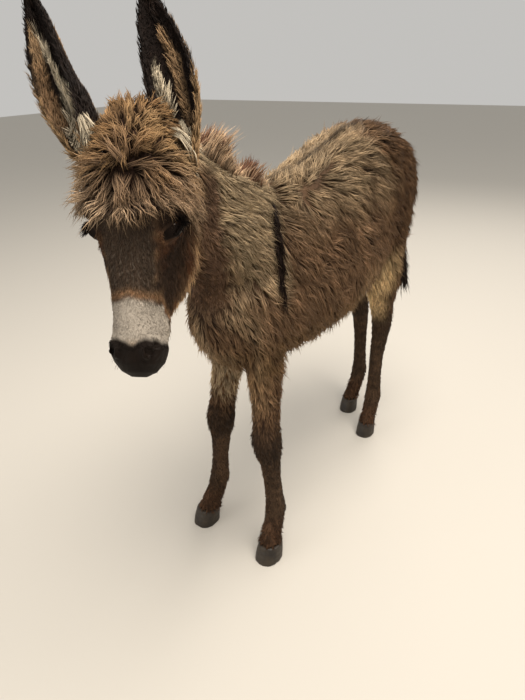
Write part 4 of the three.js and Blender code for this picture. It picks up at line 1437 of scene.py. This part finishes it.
# ---------------------------------------------------------------- stage
class DONKEY_OT_stage(bpy.types.Operator):
    """Plain pale floor, soft lights and the camera"""

    bl_idname = "donkey.stage"
    bl_label = "Stage"
    floor_half = 14

    def execute(self, context):
        scene = context.scene
        bm = bmesh.new()
        bmesh.ops.create_grid(bm, x_segments=1, y_segments=1, size=self.floor_half)
        # Matt plaster with a fine grain, so that the floor takes a soft shadow and no sheen.
        material, tree = blank("matt_plaster_floor")
        place = add(tree, "ShaderNodeTexCoord").outputs["Object"]
        grain = add(tree, "ShaderNodeTexNoise", {"Vector": place, "Scale": 220.0, "Detail": 4.0}).outputs["Fac"]
        finish_of(tree, Base_Color=(*scene.donkey_colours.floor, 1), Roughness=.9,
                  Normal=raised(tree, grain, .08, .001))
        mesh = bpy.data.meshes.new("floor")
        bm.to_mesh(mesh)
        bm.free()
        show("floor", mesh, material)
        scene.world = bpy.data.worlds.new("studio")
        scene.world.use_nodes = True
        sky = scene.world.node_tree.nodes["Background"].inputs
        sky[0].default_value, sky[1].default_value = (*linear("#f4f2ee"), 1), .6
        middle = Vector(to_row((10, -60, 700)))
        for name, spot, wide, power, tint in LIGHTS:
            light = bpy.data.lights.new(name, "AREA")
            light.shape, light.size, light.energy, light.color = "DISK", wide, power, linear(tint)
            lamp = bpy.data.objects.new(name, light)
            lamp.location = spot
            lamp.rotation_euler = (middle - Vector(spot)).to_track_quat("-Z", "Y").to_euler()
            scene.collection.objects.link(lamp)
        sin, cos = math.sin, math.cos
        level = np.array([cos(CAMERA_TURN), sin(CAMERA_TURN), 0])
        ahead = np.array([-level[1] * cos(CAMERA_PITCH), level[0] * cos(CAMERA_PITCH), -sin(CAMERA_PITCH)])
        over = np.cross(level, ahead)
        view = bpy.data.cameras.new("camera")
        view.lens, view.sensor_width, view.sensor_fit = CAMERA_LENS, CAMERA_FILM, "HORIZONTAL"
        view.clip_start, view.clip_end = .05, 60
        camera = bpy.data.objects.new("camera", view)
        place = np.eye(4)
        place[:3, 0] = level * cos(CAMERA_ROLL) + over * sin(CAMERA_ROLL)
        place[:3, 1] = over * cos(CAMERA_ROLL) - level * sin(CAMERA_ROLL)
        place[:3, 2], place[:3, 3] = -ahead, ORIGIN + CAMERA_AT
        camera.matrix_world = Matrix(place.tolist())
        scene.collection.objects.link(camera)
        scene.camera = camera
        scene.view_settings.view_transform = "Standard"
        return {"FINISHED"}


class DONKEY_PT_panel(bpy.types.Panel):
    """Everything the donkey is built from"""

    bl_label = "Donkey"
    bl_idname = "DONKEY_PT_panel"
    bl_space_type = "VIEW_3D"
    bl_region_type = "UI"
    bl_category = "Donkey"

    def draw(self, context):
        for operator in OPERATORS:
            self.layout.operator(operator.bl_idname)
        for group in (context.scene.donkey_sizes, context.scene.donkey_colours):
            box = self.layout.box()
            for key in type(group).__annotations__:
                box.prop(group, key)


OPERATORS = (DONKEY_OT_stage, DONKEY_OT_skin, DONKEY_OT_eyes, DONKEY_OT_hooves, DONKEY_OT_body_coat, DONKEY_OT_cross,
             DONKEY_OT_neck_coat, DONKEY_OT_head_coat, DONKEY_OT_ear_coat, DONKEY_OT_leg_coat, DONKEY_OT_mane,
             DONKEY_OT_tail, DONKEY_OT_lashes)
CLASSES = (DonkeySizes, DonkeyColours, *OPERATORS, DONKEY_PT_panel)


def register():
    for cls in CLASSES:
        bpy.utils.register_class(cls)
    bpy.types.Scene.donkey_sizes = PointerProperty(type=DonkeySizes)
    bpy.types.Scene.donkey_colours = PointerProperty(type=DonkeyColours)


def unregister():
    del bpy.types.Scene.donkey_sizes
    del bpy.types.Scene.donkey_colours
    for cls in reversed(CLASSES):
        bpy.utils.unregister_class(cls)


def main():
    register()
    for operator in OPERATORS:
        group, name = operator.bl_idname.split(".")
        getattr(getattr(bpy.ops, group), name)()


if __name__ == "__main__":
    main()
